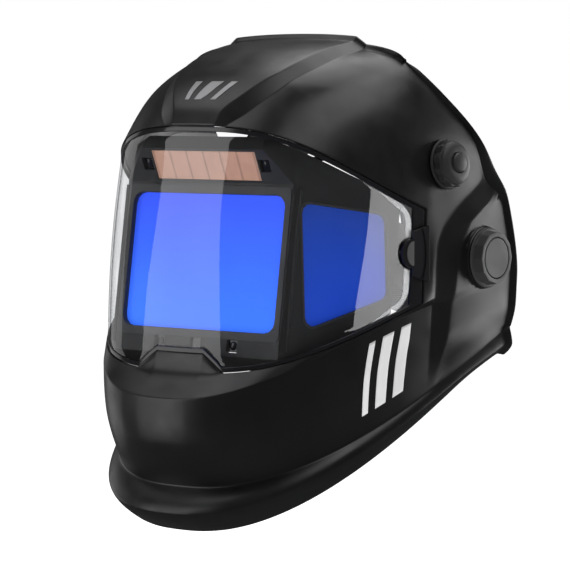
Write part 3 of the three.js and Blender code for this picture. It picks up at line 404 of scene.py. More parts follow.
def closed_sheet(name, point, normal, lifts, faces):
    """Sheet between two lifts above a surface, closed by walls round every free edge.

    Returns the piece and the edges round its border."""
    outer, inner = (point + normal * lift for lift in lifts)
    used = sorted(set(i for face in faces for i in face))
    renumber = {old: new for new, old in enumerate(used)}
    faces = [tuple(renumber[i] for i in face) for face in faces]
    count = len(used)
    directed = {(a, b) for face in faces for a, b in zip(face, face[1:] + face[:1])}
    rim = [(a, b) for a, b in directed if (b, a) not in directed]
    every = list(faces) + [tuple(i + count for i in reversed(face)) for face in faces]
    every += [(b, a, a + count, b + count) for a, b in sorted(rim)]
    points = np.concatenate([outer.reshape(-1, 3)[used], inner.reshape(-1, 3)[used]]) * MM
    obj = mesh_object(name, points, every)
    edge_keys = {tuple(sorted(e)) for a, b in rim for e in ((a, b), (a + count, b + count))}
    return obj, edge_keys


def crease(obj, edge_keys, amount):
    values = [amount if tuple(sorted(edge.vertices)) in edge_keys else 0.0 for edge in obj.data.edges]
    attribute = obj.data.attributes.new("crease_edge", "FLOAT", "EDGE")
    attribute.data.foreach_set("value", values)


def modifier(obj, kind, **settings):
    added = obj.modifiers.new(kind.lower(), kind)
    for name, value in settings.items():
        setattr(added, name, value)
    return added


def apply_modifiers(obj):
    """Replaces the piece's mesh by what its modifiers make of it."""
    bpy.context.view_layer.update()
    evaluated = obj.evaluated_get(bpy.context.evaluated_depsgraph_get())
    mesh = bpy.data.meshes.new_from_object(evaluated)
    obj.modifiers.clear()
    obj.data = mesh
    return obj


def combined(name, *objects):
    """One mesh object from several, which are used up."""
    points, faces = [], []
    for obj in objects:
        start = len(points)
        points += [tuple(obj.matrix_world @ v.co) for v in obj.data.vertices]
        faces += [tuple(start + i for i in p.vertices) for p in obj.data.polygons]
        bpy.data.objects.remove(obj)
    return mesh_object(name, points, faces)


def cut(obj, tool, operation):
    modifier(obj, "BOOLEAN", object=tool, operation=operation, solver="EXACT")
    apply_modifiers(obj)
    bpy.data.objects.remove(tool)


def framed(origin, axes, places):
    """Points in metres from places in millimetres along a frame's three axes."""
    right, up, out = (Vector(a) for a in axes)
    return [(Vector(origin) + right * x + up * y + out * h) * MM for x, y, h in places]


def around(sides):
    return [2 * math.pi * k / sides for k in range(sides)]


def ring_faces(rings, sides):
    """Faces between rings of points that follow each other."""
    return [
        (low + k, low + (k + 1) % sides, low + (k + 1) % sides + sides, low + k + sides)
        for low in range(0, (rings - 1) * sides, sides) for k in range(sides)
    ]


def capped_faces(rings, sides):
    last = (rings - 1) * sides
    return [*ring_faces(rings, sides), tuple(reversed(range(sides))), tuple(range(last, last + sides))]


def turned(name, origin, axes, profile, segments=48):
    """Turned solid. The profile runs from axis to axis in (radius, height) millimetres, the height along
    the third axis."""
    places = [(r * math.cos(a), r * math.sin(a), height) for r, height in profile for a in around(segments)]
    obj = mesh_object(name, framed(origin, axes, places), ring_faces(len(profile), segments))
    modifier(obj, "WELD", merge_threshold=1e-6)
    return apply_modifiers(obj)


def prism(name, origin, axes, outline, low, high):
    """Flat outline in millimetres pushed from one height to another above a frame."""
    points = framed(origin, axes, [(x, y, h) for h in (low, high) for x, y in outline])
    return mesh_object(name, points, capped_faces(2, len(outline)), smooth=False)


def mirrored(obj, name):
    points = [(-v.co.x, v.co.y, v.co.z) for v in obj.data.vertices]
    faces = [tuple(reversed(p.vertices)) for p in obj.data.polygons]
    return mesh_object(name, points, faces, smooth=obj.data.polygons[0].use_smooth)


def soften(obj, width, angle=28, segments=2):
    """Rounds the hard edges of a CAD node or a piece, leaving its own points where they are."""
    if "custom_normal" in obj.data.attributes:
        obj.data.attributes.remove(obj.data.attributes["custom_normal"])
    obj.data.polygons.foreach_set("use_smooth", [True] * len(obj.data.polygons))
    modifier(obj, "WELD", merge_threshold=2e-6)
    modifier(obj, "BEVEL", width=width, segments=segments, limit_method="ANGLE",
             angle_limit=math.radians(angle), harden_normals=True, use_clamp_overlap=True)
    modifier(obj, "WEIGHTED_NORMAL", keep_sharp=False, weight=60)


# ---------------------------------------------------------------- the shell's surface, in millimetres

# Cross-sections from the lip to the rim: half-width, rear Y and Z, front Y and Z, squareness, rise, folded.
LEVELS = np.array([
    (115, 30, -62, -161, -174, 2.5, 1.1, 1),
    (119, 31, -57, -177, -161, 2.5, 1.05, 0),
    (117, 32, -48, -164, -145, 2.55, 1.0, 1),
    (120, 33, -32, -179, -116, 2.5, 1.5, 0),
    (121, 33, -20, -181, -87, 2.5, 2.0, 1),
    (123, 33, -9, -163, -71, 3.0, 1.55, 1),
    (121, 30, 16, -147, 87, 3.0, 1.85, 1),
    (114, 10, 74, -116, 117, 2.7, 1.2, 0),
    (103, -20, 106, -82, 132, 2.5, 1.1, 0),
    (90, -38, 126, -42, 140, 2.2, 1.0, 1),
])
SILL, BROW, RIM = 5, 6, 9
SHELL_THICK = 2.8
TAB_RISE = 0.075
CROWN_RAISE = 4.5
CROWN_START = 6.25
# Half-widths of the crown panel's top and foot at levels.
CROWN_TOP = [
    (0, 20), (5, 20), (6, 18), (6.25, 20), (6.54, 29), (7.08, 42), (7.6, 46), (8.33, 48.5), (9, 51),
]
CROWN_FOOT = [(0, 36), (5, 36), (6, 26), (6.25, 36), (6.8, 48), (7.54, 55.5), (8, 57.5), (9, 59)]
EAR_RAISE = 4.5
# Y of the ear panel's foot and top at heights.
EAR_FOOT = [(-80, -46), (-5, -45.5), (11, -43), (23, -34), (34, -22), (51, 7.5), (60, 24), (70, 45)]
EAR_TOP = [
    (-80, -40), (-37, -32.5), (-13, -30), (2.5, -27), (11, -23), (24, -13), (34, 3.5), (42, 20), (55, 50),
]
EAR_FADE = (-85, -50)
RIM_FLANGE = 3.2
# Behind the opening the folds fade out between two plan angles, and each level's half-width is trimmed.
FOLD_FADE = (math.radians(72), math.radians(77))
EAR_TRIM = np.array([0, 0, 0, 0, 0.2, 1.7, 0.5, 0, 0, 0])
RIM_PART = 4 / 45
LINE_STEPS = [2, 1, 7, 1, 1, 1, 2, 1]
LINE_AT = np.concatenate([[0], np.cumsum(LINE_STEPS)])
_, FOOT_LINE, VISOR_LINE, OPENING_LINE, _, _, FLANGE_LINE, RIM_LINE = LINE_AT[1:]
VISOR_ANGLES = (67.6, 71.5)
VISOR_BULGE = 3


def table(rows, at):
    return np.interp(at, [r[0] for r in rows], [r[1] for r in rows])


def smooth(value, low, high):
    t = np.clip((value - low) / (high - low), 0, 1)
    return t * t * (3 - 2 * t)


def level_point(k, angle):
    half, rear_y, rear_z, front_y, front_z, square, rise, _ = np.moveaxis(LEVELS[k], -1, 0)
    half = half - EAR_TRIM[k] * smooth(np.abs(angle), *FOLD_FADE)
    sine, cosine = np.sin(angle), np.cos(angle)
    across = np.sign(sine) * np.abs(sine) ** (2 / square)
    along = np.abs(cosine) ** (2 / square)
    return np.stack([
        half * across,
        rear_y - (rear_y - front_y) * along,
        rear_z + (front_z - rear_z) * along ** rise,
    ], -1)


def size(vectors):
    return np.maximum(np.linalg.norm(vectors, axis=-1, keepdims=True), 1e-6)


def shell_point(height, angle):
    """Point of the shell's plain outer surface: height in levels, plan angle in radians."""
    height, angle = np.broadcast_arrays(np.asarray(height, float), np.asarray(angle, float))
    i = np.clip(np.floor(height).astype(int), 0, RIM - 1)
    t = (height - i)[..., None]
    start_point, end_point = level_point(i, angle), level_point(i + 1, angle)
    chord = end_point - start_point

    def tangent(k):
        middle = level_point(k, angle)
        below = middle - level_point(np.maximum(k - 1, 0), angle)
        above = level_point(np.minimum(k + 1, RIM), angle) - middle
        a, b = size(below), size(above)
        return (below * (b / a) + above * (a / b)) * size(chord) / (a + b)

    fold_start = LEVELS[i, 7][..., None] > 0
    fold_end = LEVELS[i + 1, 7][..., None] > 0
    smooth_start, smooth_end = tangent(i), tangent(i + 1)
    start = np.where(fold_start, chord, smooth_start)
    end = np.where(fold_end, chord, smooth_end)
    start, end = (
        np.where(fold_start & ~fold_end, 1.5 * chord - 0.5 * end, start),
        np.where(fold_end & ~fold_start, 1.5 * chord - 0.5 * start, end),
    )
    flat = smooth(np.abs(angle), *FOLD_FADE)[..., None]
    start = start + (smooth_start - start) * flat
    end = end + (smooth_end - end) * flat
    return (start_point * (2 * t**3 - 3 * t**2 + 1) + start * (t**3 - 2 * t**2 + t)
            + end_point * (-2 * t**3 + 3 * t**2) + end * (t**3 - t**2))


def shell_normal(height, angle):
    step = 0.01
    low = np.clip(np.asarray(height, float) - step, 0, RIM - 2 * step)
    limit = math.pi / 2 - step
    middle = np.clip(angle, -limit, limit)
    up = shell_point(low + 2 * step, middle) - shell_point(low, middle)
    across = shell_point(low + step, middle + step) - shell_point(low + step, middle - step)
    normal = np.cross(across, up)
    return normal / size(normal)


def angle_where(height, quantity):
    """Smallest plan angle at which a quantity that grows with the angle passes zero."""
    low, high = np.zeros_like(height), np.full_like(height, math.pi / 2)
    for _ in range(30):
        middle = (low + high) / 2
        below = quantity(shell_point(height, middle), height) < 0
        low, high = np.where(below, middle, low), np.where(below, high, middle)
    return (low + high) / 2


def line_table():
    """Plan angles of the feature lines at closely spaced heights, on the wearer's left."""
    height = np.linspace(0, RIM, 721)
    rim_y = shell_point(height, math.pi / 2)[..., 1]

    def before_rim(distance):
        return angle_where(height, lambda p, h: p[..., 1] - rim_y + distance)

    def ear_line(rows, clear_of_rim):
        return np.minimum(angle_where(height, lambda p, h: p[..., 1] - table(rows, p[..., 2])),
                          before_rim(clear_of_rim))

    lines = [
        np.zeros_like(height),
        angle_where(height, lambda p, h: p[..., 0] - table(CROWN_TOP, h)),
        angle_where(height, lambda p, h: p[..., 0] - table(CROWN_FOOT, h)),
        np.full_like(height, math.radians(VISOR_ANGLES[0])),
        np.full_like(height, math.radians(VISOR_ANGLES[1])),
        ear_line(EAR_FOOT, 13),
        ear_line(EAR_TOP, 8),
        before_rim(4),
        np.full_like(height, math.pi / 2),
    ]
    for i in range(1, len(lines) - 1):
        lines[i] = np.maximum(lines[i], lines[i - 1] + 0.03)
    return height, np.array(lines)


LINE_HEIGHTS, LINES = line_table()


def column_angle(height, column):
    """Plan angle of a shell column, which may be a fraction, at a height."""
    height, column = np.broadcast_arrays(np.asarray(height, float), np.asarray(column, float))
    at = np.abs(column)
    band = np.clip(np.searchsorted(LINE_AT, at, side="right") - 1, 0, len(LINE_STEPS) - 1)
    angles = np.array([np.interp(height, LINE_HEIGHTS, line) for line in LINES])
    low = np.take_along_axis(angles, band[None], 0)[0]
    high = np.take_along_axis(angles, band[None] + 1, 0)[0]
    part = (at - LINE_AT[band]) / np.array(LINE_STEPS)[band]
    return np.sign(column) * (low + (high - low) * part)


def sill_height(column):
    return SILL + TAB_RISE * np.clip(FOOT_LINE - np.abs(column), 0, 1)


def raised(height, column, point):
    """How far the shell stands out from its plain surface: crown panel, ear panels, rim flange."""
    across = np.clip(FOOT_LINE - np.abs(column), 0, 1)
    ramp = 0.35 + 0.65 * np.clip((height - BROW) / (CROWN_START - BROW), 0, 1)
    crown = np.where(height >= BROW, CROWN_RAISE * ramp * across, 0)
    y, z = point[..., 1], point[..., 2]
    foot = table(EAR_FOOT, z)
    slope = np.clip((y - foot) / np.maximum(1, table(EAR_TOP, z) - foot), 0, 1)
    ear = EAR_RAISE * smooth(z, *EAR_FADE) * np.where((z < 60) & (np.abs(point[..., 0]) > 90), slope, 0)
    edge = np.maximum(np.clip(np.abs(column) - FLANGE_LINE, 0, 1),
                      np.clip((height - RIM + RIM_PART) / RIM_PART, 0, 1))
    return crown + ear + RIM_FLANGE * edge


def outer_point(height, column):
    """Point and normal of the finished outer surface at a height and column."""
    angle = column_angle(height, column)
    point = shell_point(height, angle)
    normal = shell_normal(height, angle)
    return point + normal * raised(height, column, point)[..., None], normal


# ---------------------------------------------------------------- shell


def fine_parts(rows, lead):
    """Shares of a band from 0 up to 1, with an extra one close to each end so that folds stay tight."""
    inside = [k / rows for k in range(1, rows)]
    return [0, lead, *inside, 1 - lead]


ROW_COUNTS = [3, 3, 6, 5, 4, 14, 9, 7, 7]
ROW_LEADS = [0.08, 0.08, 0.05, 0.05, 0.06, 0.01, 0.04, 0.05, 0.05]
COLUMN_COUNTS = [8, 3, 26, 3, 3, 4, 7, 3]
COLUMN_LEADS = [0.05, 0.1, 0.01, 0.12, 0.12, 0.1, 0.05, 0.15]


def shell_columns():
    right = []
    for start, steps, count, lead in zip(LINE_AT, LINE_STEPS, COLUMN_COUNTS, COLUMN_LEADS):
        right += [start + steps * part for part in fine_parts(count, lead)]
    right.append(RIM_LINE)
    return np.array([-c for c in reversed(right[1:])] + right, float)


def make_shell():
    columns = shell_columns()
    heights, levels = [], []
    for level, (count, lead) in enumerate(zip(ROW_COUNTS, ROW_LEADS)):
        parts = fine_parts(count, lead)
        if level == RIM - 1:
            parts += [1 - RIM_PART, 1 - RIM_PART / 2]
            parts = sorted(parts)
        for part in parts:
            low = sill_height(columns) if level == SILL else np.full(len(columns), float(level))
            high = sill_height(columns) if level + 1 == SILL else np.full(len(columns), level + 1.0)
            heights.append(low + (high - low) * part)
            levels.append(level)
    heights.append(np.full(len(columns), float(RIM)))
    levels.append(RIM)
    height = np.array(heights)
    outer, normal = outer_point(height, np.broadcast_to(columns, height.shape))
    middle = (np.abs(columns[:-1]) + np.abs(columns[1:])) / 2

    def is_moulded(row, column):
        return levels[row] != SILL or middle[column] > OPENING_LINE

    faces = grid_faces(len(levels), len(columns), is_moulded)
    shell, border = closed_sheet("shell_moulding", outer, normal, (0, -SHELL_THICK), faces)
    crease(shell, border, 0.75)
    modifier(shell, "SUBSURF", levels=1, render_levels=1)
    apply_modifiers(shell)
    bosses = combined("bosses", *(pivot_boss(side) for side in (1, -1)))
    cut(shell, bosses, "UNION")
    drill = [(0, 100), (6, 100), (6, 135), (0, 135)]
    holes = [turned("hole", (0, 0, 0), side_axes(side), drill) for side in (1, -1)]
    origin, axes = knob_frame()
    holes.append(turned("hole", origin, axes, [(0, -12), (4.8, -12), (4.8, 9), (0, 9)]))
    cut(shell, combined("holes", *holes), "DIFFERENCE")
    shell.data.polygons.foreach_set("use_smooth", [True] * len(shell.data.polygons))
    modifier(shell, "WEIGHTED_NORMAL", keep_sharp=False, weight=50)
    return shell


def side_axes(side):
    """Axes at a tilt pivot: the third one runs out of the helmet's side."""
    return (0, side, 0), (0, 0, 1), (side, 0, 0)


def pivot_boss(side):
    profile = [(0, 119), (20.5, 121.5), (20.5, 126.2), (20.1, 127.1), (19.2, 127.4), (0, 127.4)]
    return turned("boss", (0, 0, 0), side_axes(side), profile, 64)


def surface_axes(level, angle_deg):
    """Origin and axes of a seat on the shell, in millimetres, the third axis running out of it."""
    angle = math.radians(angle_deg)
    along = Vector(shell_point(level, angle + 0.01) - shell_point(level, angle - 0.01)).normalized()
    out = Vector(shell_normal(level, angle))
    out = (out - along * out.dot(along)).normalized()
    return Vector(shell_point(level, angle)), (along, out.cross(along), out)


def knob_frame():
    return surface_axes(6.58, 77)


def latch_frame():
    return surface_axes(5.53, 69.8)


# ---------------------------------------------------------------- visor

GAP = 0.4
BEZEL_WIDTH = 3.2
BEZEL_END = 11.6
BEZEL_DEPTHS = (-0.6, -2.6)
COVER_DEPTHS = (-1.0, -2.2)
COVER_CORNER = 10
COVER_COLUMN = 22.8
BORDER_LENGTH = 32
BORDER_WIDTH = 4.8
BORDER_DEPTHS = (-0.65, -0.95)


def visor_point(column, part, margin):
    """Point and normal of the visor's surface, and the opening's height there.

    Part runs from the sill to the brow, and margin keeps clear of both."""
    bottom = sill_height(column)
    low = shell_point(bottom, column_angle(bottom, column))
    high = shell_point(np.full_like(bottom, BROW), column_angle(np.full_like(bottom, BROW), column))
    inset = margin / size(high - low)[..., 0]
    height = bottom + (BROW - bottom) * (inset + (1 - 2 * inset) * part)
    angle = column_angle(height, column)
    normal = shell_normal(np.clip(height, SILL + 0.02, BROW - 0.02), angle)
    bulge = VISOR_BULGE * (1 - np.abs(column / OPENING_LINE) ** 3)
    rise = np.sin(math.pi * (height - bottom) / (BROW - bottom))
    return shell_point(height, angle) + normal * (bulge * rise)[..., None], normal, size(high - low)[..., 0]


def both_sides(columns):
    return np.array([-c for c in reversed(columns[1:])] + list(columns), float)


def make_bezel():
    steps = list(np.arange(0, VISOR_LINE + 0.01, 0.25))
    end = OPENING_LINE - GAP / BEZEL_END
    steps += list(np.linspace(VISOR_LINE, end, 5)[1:])
    columns = both_sides(steps)
    tall = visor_point(columns, 0.5, GAP)[2] - 2 * GAP
    band = BEZEL_WIDTH / tall
    middle = np.linspace(0, 1, 22)
    rows = [np.zeros_like(band), *[band + (1 - 2 * band) * m for m in middle], np.ones_like(band)]
    part = np.array(rows)
    column = np.broadcast_to(columns, part.shape)
    point, normal, _ = visor_point(column, part, GAP)
    centre = (np.abs(columns[:-1]) + np.abs(columns[1:])) / 2

    def is_frame(row, column):
        return row in (0, len(rows) - 2) or centre[column] > VISOR_LINE

    faces = grid_faces(len(rows), len(columns), is_frame)
    bezel, _ = closed_sheet("visor_bezel", point, normal, BEZEL_DEPTHS, faces)
    soften(bezel, 0.5 * MM, 40, 2)
    return bezel


def make_cover():
    end = VISOR_LINE - 1.2 / COVER_COLUMN
    steps = list(np.arange(0, VISOR_LINE - 1 + 0.01, 0.2))
    steps += [end - length / COVER_COLUMN for length in (13, 10, 8.5, 7, 6, 5, 4, 3, 2, 1.2, 0.6, 0.2, 0)]
    columns = both_sides(steps)
    short = np.maximum(0, COVER_CORNER - (end - np.abs(columns)) * COVER_COLUMN)
    margin = 2 * GAP + 0.2 + BEZEL_WIDTH + COVER_CORNER - np.sqrt(np.maximum(COVER_CORNER**2 - short**2, 0))
    part = np.repeat(np.linspace(0, 1, 31)[:, None], len(columns), 1)
    column = np.broadcast_to(columns, part.shape)
    point, normal, _ = visor_point(column, part, np.broadcast_to(margin, part.shape))
    cover, _ = closed_sheet("clear_cover", point, normal, COVER_DEPTHS, grid_faces(*part.shape))
    notch = latch_notch()
    cut(cover, combined("notches", notch, mirrored(notch, "notch_right")), "DIFFERENCE")
    cover.data.polygons.foreach_set("use_smooth", [True] * len(cover.data.polygons))
    modifier(cover, "WEIGHTED_NORMAL", keep_sharp=False, weight=50)
    return cover


LATCH_HALF, TAB_LENGTH, TAB_HEIGHT = 7, 9.5, 9.7


def half_oval(centre, length, height, steps):
    """Front half of an oval, from its top round to its bottom."""
    turns = [math.pi / 2 + math.pi * i / steps for i in range(steps + 1)]
    return [(centre + length * math.cos(a), height * math.sin(a)) for a in turns]


def tab_outline(clearance):
    """The latch's nose, or with a clearance the notch that it slides into."""
    length, height, root = TAB_LENGTH + clearance, TAB_HEIGHT + clearance, 5 - LATCH_HALF
    return [(root, height), *half_oval(-LATCH_HALF, length, height, 28), (root, -height)]


def latch_notch():
    return prism("notch", *latch_frame(), tab_outline(0.9), -8, 4)


def make_latch():
    """Latch on the wearer's left: a black clip with a bowed flap behind, and a grey pad on its nose."""
    origin, axes = latch_frame()
    body = [(-LATCH_HALF, -14.5), (LATCH_HALF, -18.5), (LATCH_HALF, 18.5), (-LATCH_HALF, 14.5)]
    bow = [(3.6 - 3.2 * (y / 16.5) ** 2, y) for y in np.linspace(16.5, -16.5, 19)]
    flap = bow + [(LATCH_HALF - 0.3, -18), (LATCH_HALF - 0.3, 18)]
    pad = half_oval(0.4 - LATCH_HALF, 6.2, 8, 20)
    solids = [prism("body", origin, axes, body, 0.35, 2.2), prism("flap", origin, axes, flap, 2.1, 3.3),
              prism("nose", origin, axes, tab_outline(0), 0.35, 1.9)]
    return combined("latch_clip_left", *solids), prism("latch_pad_left", origin, axes, pad, 1.8, 2.6)


def border_path(length):
    """Path round the cover's lower rear corner: distance from the rear end, height above the lower edge,
    and the inward direction in the same two senses."""
    r = COVER_CORNER
    path = [(r + (length - r) * (1 - k / 24), 0, 0, 1) for k in range(24)]
    for k in range(17):
        a = math.pi / 2 * k / 16
        path.append((r - r * math.sin(a), r - r * math.cos(a), math.sin(a), math.cos(a)))
    return np.array(path)


def make_cover_border():
    """The milky flange moulded round each rear end of the cover, lying on its outer face."""
    end = VISOR_LINE - 1.2 / COVER_COLUMN
    margin = 2 * GAP + 0.6 + BEZEL_WIDTH
    lower = border_path(BORDER_LENGTH)
    shares = np.linspace(0, 1, 9)
    width = BORDER_WIDTH * (0.05 + 0.95 * smooth(BORDER_LENGTH - lower[:, 0], 0, BORDER_LENGTH * 0.8))
    inset = shares[:, None] * width
    rear = lower[:, 0] + inset * lower[:, 2]
    rise = lower[:, 1] + inset * lower[:, 3]
    column = end - rear / COVER_COLUMN
    tall = visor_point(column, 0.5, margin)[2] - 2 * margin
    straight = np.linspace(0, 1, 26)[1:-1]
    between = [np.repeat(v[:, -1:], len(straight), 1) for v in (column, tall, rise)]
    low_part = rise / tall
    rear_part = between[2] / between[1] + (1 - 2 * between[2] / between[1]) * straight
    part = np.concatenate([low_part, rear_part, 1 - low_part[:, ::-1]], 1)
    column = np.concatenate([column, between[0], column[:, ::-1]], 1)
    point, normal, _ = visor_point(column, part, margin)
    border, _ = closed_sheet("cover_border", point, normal, BORDER_DEPTHS, grid_faces(*part.shape))
    cut(border, latch_notch(), "DIFFERENCE")
    return combined("cover_border", mirrored(border, "border_right"), border)


# ---------------------------------------------------------------- small details


def rounded(corners, radius, steps=8):
    """Outline with every corner of a convex polygon replaced by an arc."""
    outline = []
    for i, corner in enumerate(corners):
        here = Vector(corner)
        before = (Vector(corners[i - 1]) - here).normalized()
        after = (Vector(corners[(i + 1) % len(corners)]) - here).normalized()
        half = math.acos(max(-1, min(1, before.dot(after)))) / 2
        centre = here + (before + after).normalized() * radius / math.sin(half)
        start = here + before * radius / math.tan(half) - centre
        sweep = math.pi - 2 * half
        turn = -1 if before.x * after.y - before.y * after.x > 0 else 1
        for k in range(steps + 1):
            a = turn * sweep * k / steps
            outline.append((centre.x + start.x * math.cos(a) - start.y * math.sin(a),
                            centre.y + start.x * math.sin(a) + start.y * math.cos(a)))
    return outline


def rectangle(half, up):
    return [(-half, -up), (half, -up), (half, up), (-half, up)]


def ring_prism(name, origin, axes, outer, inner, low, high):
    """Frame between two outlines with the same number of points."""
    count = len(outer)
    points = framed(origin, axes, [(x, y, h) for h in (low, high) for x, y in outer + inner])
    faces = []
    for k in range(count):
        n = (k + 1) % count
        a, b, c, d = k, n, n + count, k + count
        top = 2 * count
        faces += [(a, d, c, b), (a + top, b + top, c + top, d + top), (a, b, b + top, a + top),
                  (d, d + top, c + top, c)]
    return mesh_object(name, points, faces)


LENS_ORIGIN = (0, -138, -1)
LENS_PITCH = math.radians(8.3)
FRONT_AXES = ((1, 0, 0), (0, math.sin(LENS_PITCH), math.cos(LENS_PITCH)),
              (0, -math.cos(LENS_PITCH), math.sin(LENS_PITCH)))
SIDE_SWEEP = math.radians(65)
PANEL_HALF = 73
SIDE_ALONG = Vector((math.cos(SIDE_SWEEP), math.sin(SIDE_SWEEP), 0))


def side_panel_frame():
    out = SIDE_ALONG.cross(Vector(FRONT_AXES[1])).normalized()
    return (PANEL_HALF, LENS_ORIGIN[1], LENS_ORIGIN[2]), (SIDE_ALONG, out.cross(SIDE_ALONG), out)


SIDE_WINDOW = [(9.7, -41.6), (69.5, -22.8), (69.5, 30.5), (9.7, 39.6)]


def grown(corners, margin):
    middle = [sum(c[k] for c in corners) / len(corners) for k in (0, 1)]
    return [tuple(c[k] + math.copysign(margin, c[k] - middle[k]) for k in (0, 1)) for c in corners]


def make_window_frames():
    """Raised lips round the front and side windows of the cartridge."""
    front = ring_prism("front_window_lip", LENS_ORIGIN, FRONT_AXES, rounded(rectangle(69.4, 49.6), 4),
                       rounded(rectangle(64.9, 44.5), 7.8), -0.2, 0.55)
    origin, axes = side_panel_frame()
    side = ring_prism("side_window_lip_left", origin, axes, rounded(grown(SIDE_WINDOW, 1.7), 7),
                      rounded(grown(SIDE_WINDOW, 0.1), 6), -0.2, 0.45)
    return front, side, mirrored(side, "side_window_lip_right")


def tube(name, path, radius, sides=14):
    """Closed round bar along a straight-sided path, given in millimetres."""
    path = [Vector(p) for p in path]
    points = []
    ring = [(radius * math.cos(a), radius * math.sin(a), 0) for a in around(sides)]
    for i, here in enumerate(path):
        along = (path[min(i + 1, len(path) - 1)] - path[max(i - 1, 0)]).normalized()
        side = along.cross(Vector((0, 1, 0.01))).normalized()
        points += framed(here, (side, side.cross(along), along), ring)
    return mesh_object(name, points, capped_faces(len(path), sides))


def corner_rib(name, along, radius, side):
    """Moulded bead down the corner between the cartridge's front and side panels."""
    path = []
    for z in (-56, -30, 0, 25, 47):
        y = LENS_ORIGIN[1] + (z - LENS_ORIGIN[2]) * math.tan(LENS_PITCH)
        point = Vector((PANEL_HALF - 3 + along * 4.7, y + along * 3.6, z))
        path.append((side * point.x, point.y, point.z))
    return tube(name, path, radius)


MARK_STEPS = 10
MARK_LIFTS = (0.22, 0.05)
CHEEK_LEVELS, CHEEK_SLANT = (2.35, 3.75), 0.35
FOREHEAD_LEVELS, FOREHEAD_SLANT = (6.42, 6.8), 0.28


def slanted(levels, start, width, slant):
    """Corners of a bar between two levels that leans by a slant, in columns."""
    low, high = levels
    return [(low, start), (low, start + width), (high, start + width + slant), (high, start + slant)]


def mark(name, corners):
    """Painted bar on the shell. Corners are (level, column) pairs, anticlockwise from the lower front."""
    u, v = np.meshgrid(np.linspace(0, 1, MARK_STEPS), np.linspace(0, 1, MARK_STEPS * 2))
    a, b, c, d = (np.array(corner, float) for corner in corners)
    at = (a * ((1 - u) * (1 - v))[..., None] + b * (u * (1 - v))[..., None]
          + c * (u * v)[..., None] + d * ((1 - u) * v)[..., None])
    point, normal = outer_point(at[..., 0], at[..., 1])
    bar, _ = closed_sheet(name, point, normal, MARK_LIFTS, grid_faces(*at.shape[:2]))
    return bar


def make_marks():
    """Plain slanting bars on both cheeks and the forehead."""
    marks = []
    for side, label in ((1, "left"), (-1, "right")):
        for k, (start, width) in enumerate(((8.35, 0.2), (8.8, 0.36), (9.4, 0.36))):
            corners = slanted(CHEEK_LEVELS, start, width, CHEEK_SLANT)
            marks.append((mark(f"cheek_bar_{label}_{k}", [(h, side * c) for h, c in corners]), "paint"))
    for k in range(3):
        corners = slanted(FOREHEAD_LEVELS, -0.95 + 0.62 * k, 0.3, FOREHEAD_SLANT)
        marks.append((mark(f"forehead_bar_{k}", corners), "silver_paint"))
    return marks


# ---------------------------------------------------------------- soft parts of the headgear

BAND_HALF, BAND_THICK, BAND_FRONT_Y, BAND_SIDE_Y = 84, 2.4, -95, -55
BAND_HEIGHT = [(-96, 36), (-75, 34), (-52, 4), (-35, 0)]
BAND_UP = [(-96, 14), (-75, 15), (-50, 22)]
PUFF_PRESSURE, PUFF_CAP = 3.0, 0.6 * MM


def soft_strip(name, centres, normals, half_heights, half_thick, seams, sides=36):
    """Stuffed strip: a crowned section carried along a line, ends rounded off, sewn channels drawn in."""
    length = np.concatenate([[0], np.cumsum(np.linalg.norm(np.diff(centres, axis=0), axis=1))])
    share = 2 * length / length[-1] - 1
    points = []
    turn = np.array(around(sides))
    face_in = np.sign(np.cos(turn)) * np.abs(np.cos(turn)) ** 0.75
    tall = np.sign(np.sin(turn)) * np.abs(np.sin(turn)) ** 0.42
    for i in range(len(centres)):
        close = max(0.02, (1 - abs(share[i]) ** 16)) ** 0.5
        pinch = 1 - 0.5 * sum(math.exp(-((length[i] - length[-1] * at) / 1.6) ** 2) for at in seams)
        thick = half_thick * close * np.where(face_in > 0, pinch, 1)
        height = half_heights[i] * (0.9 + 0.1 * close) * (1 - 0.03 * (1 - pinch))
        for k in range(sides):
            point = centres[i] + normals[i] * (thick[k] * face_in[k]) + np.array([0, 0, height * tall[k]])
            points.append(point * MM)
    pad = mesh_object(name, points, capped_faces(len(centres), sides))
    puff(pad, PUFF_PRESSURE, PUFF_CAP)
    modifier(pad, "SUBSURF", levels=1, render_levels=1)
    return apply_modifiers(pad)


def puff(obj, pressure, cap):
    """Inflates a closed piece as cloth, no point moving further than cap, and keeps the result."""
    rest = np.array([v.co for v in obj.data.vertices])
    cloth = modifier(obj, "CLOTH")
    cloth.settings.quality = 4
    cloth.settings.mass = 0.2
    cloth.settings.tension_stiffness = 25
    cloth.settings.compression_stiffness = 25
    cloth.settings.use_pressure = True
    cloth.settings.uniform_pressure_force = pressure
    cloth.settings.effector_weights.gravity = 0
    scene = bpy.context.scene
    for step in range(1, 13):
        scene.frame_set(step)
    evaluated = obj.evaluated_get(bpy.context.evaluated_depsgraph_get())
    moved = np.array([v.co for v in evaluated.data.vertices])
    obj.modifiers.clear()
    scene.frame_set(1)
    shift = moved - rest
    length = np.maximum(np.linalg.norm(shift, axis=1, keepdims=True), 1e-9)
    settled = rest + shift * np.minimum(1, cap / length)
    obj.data.vertices.foreach_set("co", settled.astype(np.float32).ravel())
    obj.data.update()


def resampled(path, spacing):
    path = np.array(path, float)
    length = np.concatenate([[0], np.cumsum(np.linalg.norm(np.diff(path, axis=0), axis=1))])
    count = int(length[-1] / spacing) + 1
    at = np.linspace(0, length[-1], count)
    return np.stack([np.interp(at, length, path[:, k]) for k in range(path.shape[1])], 1)


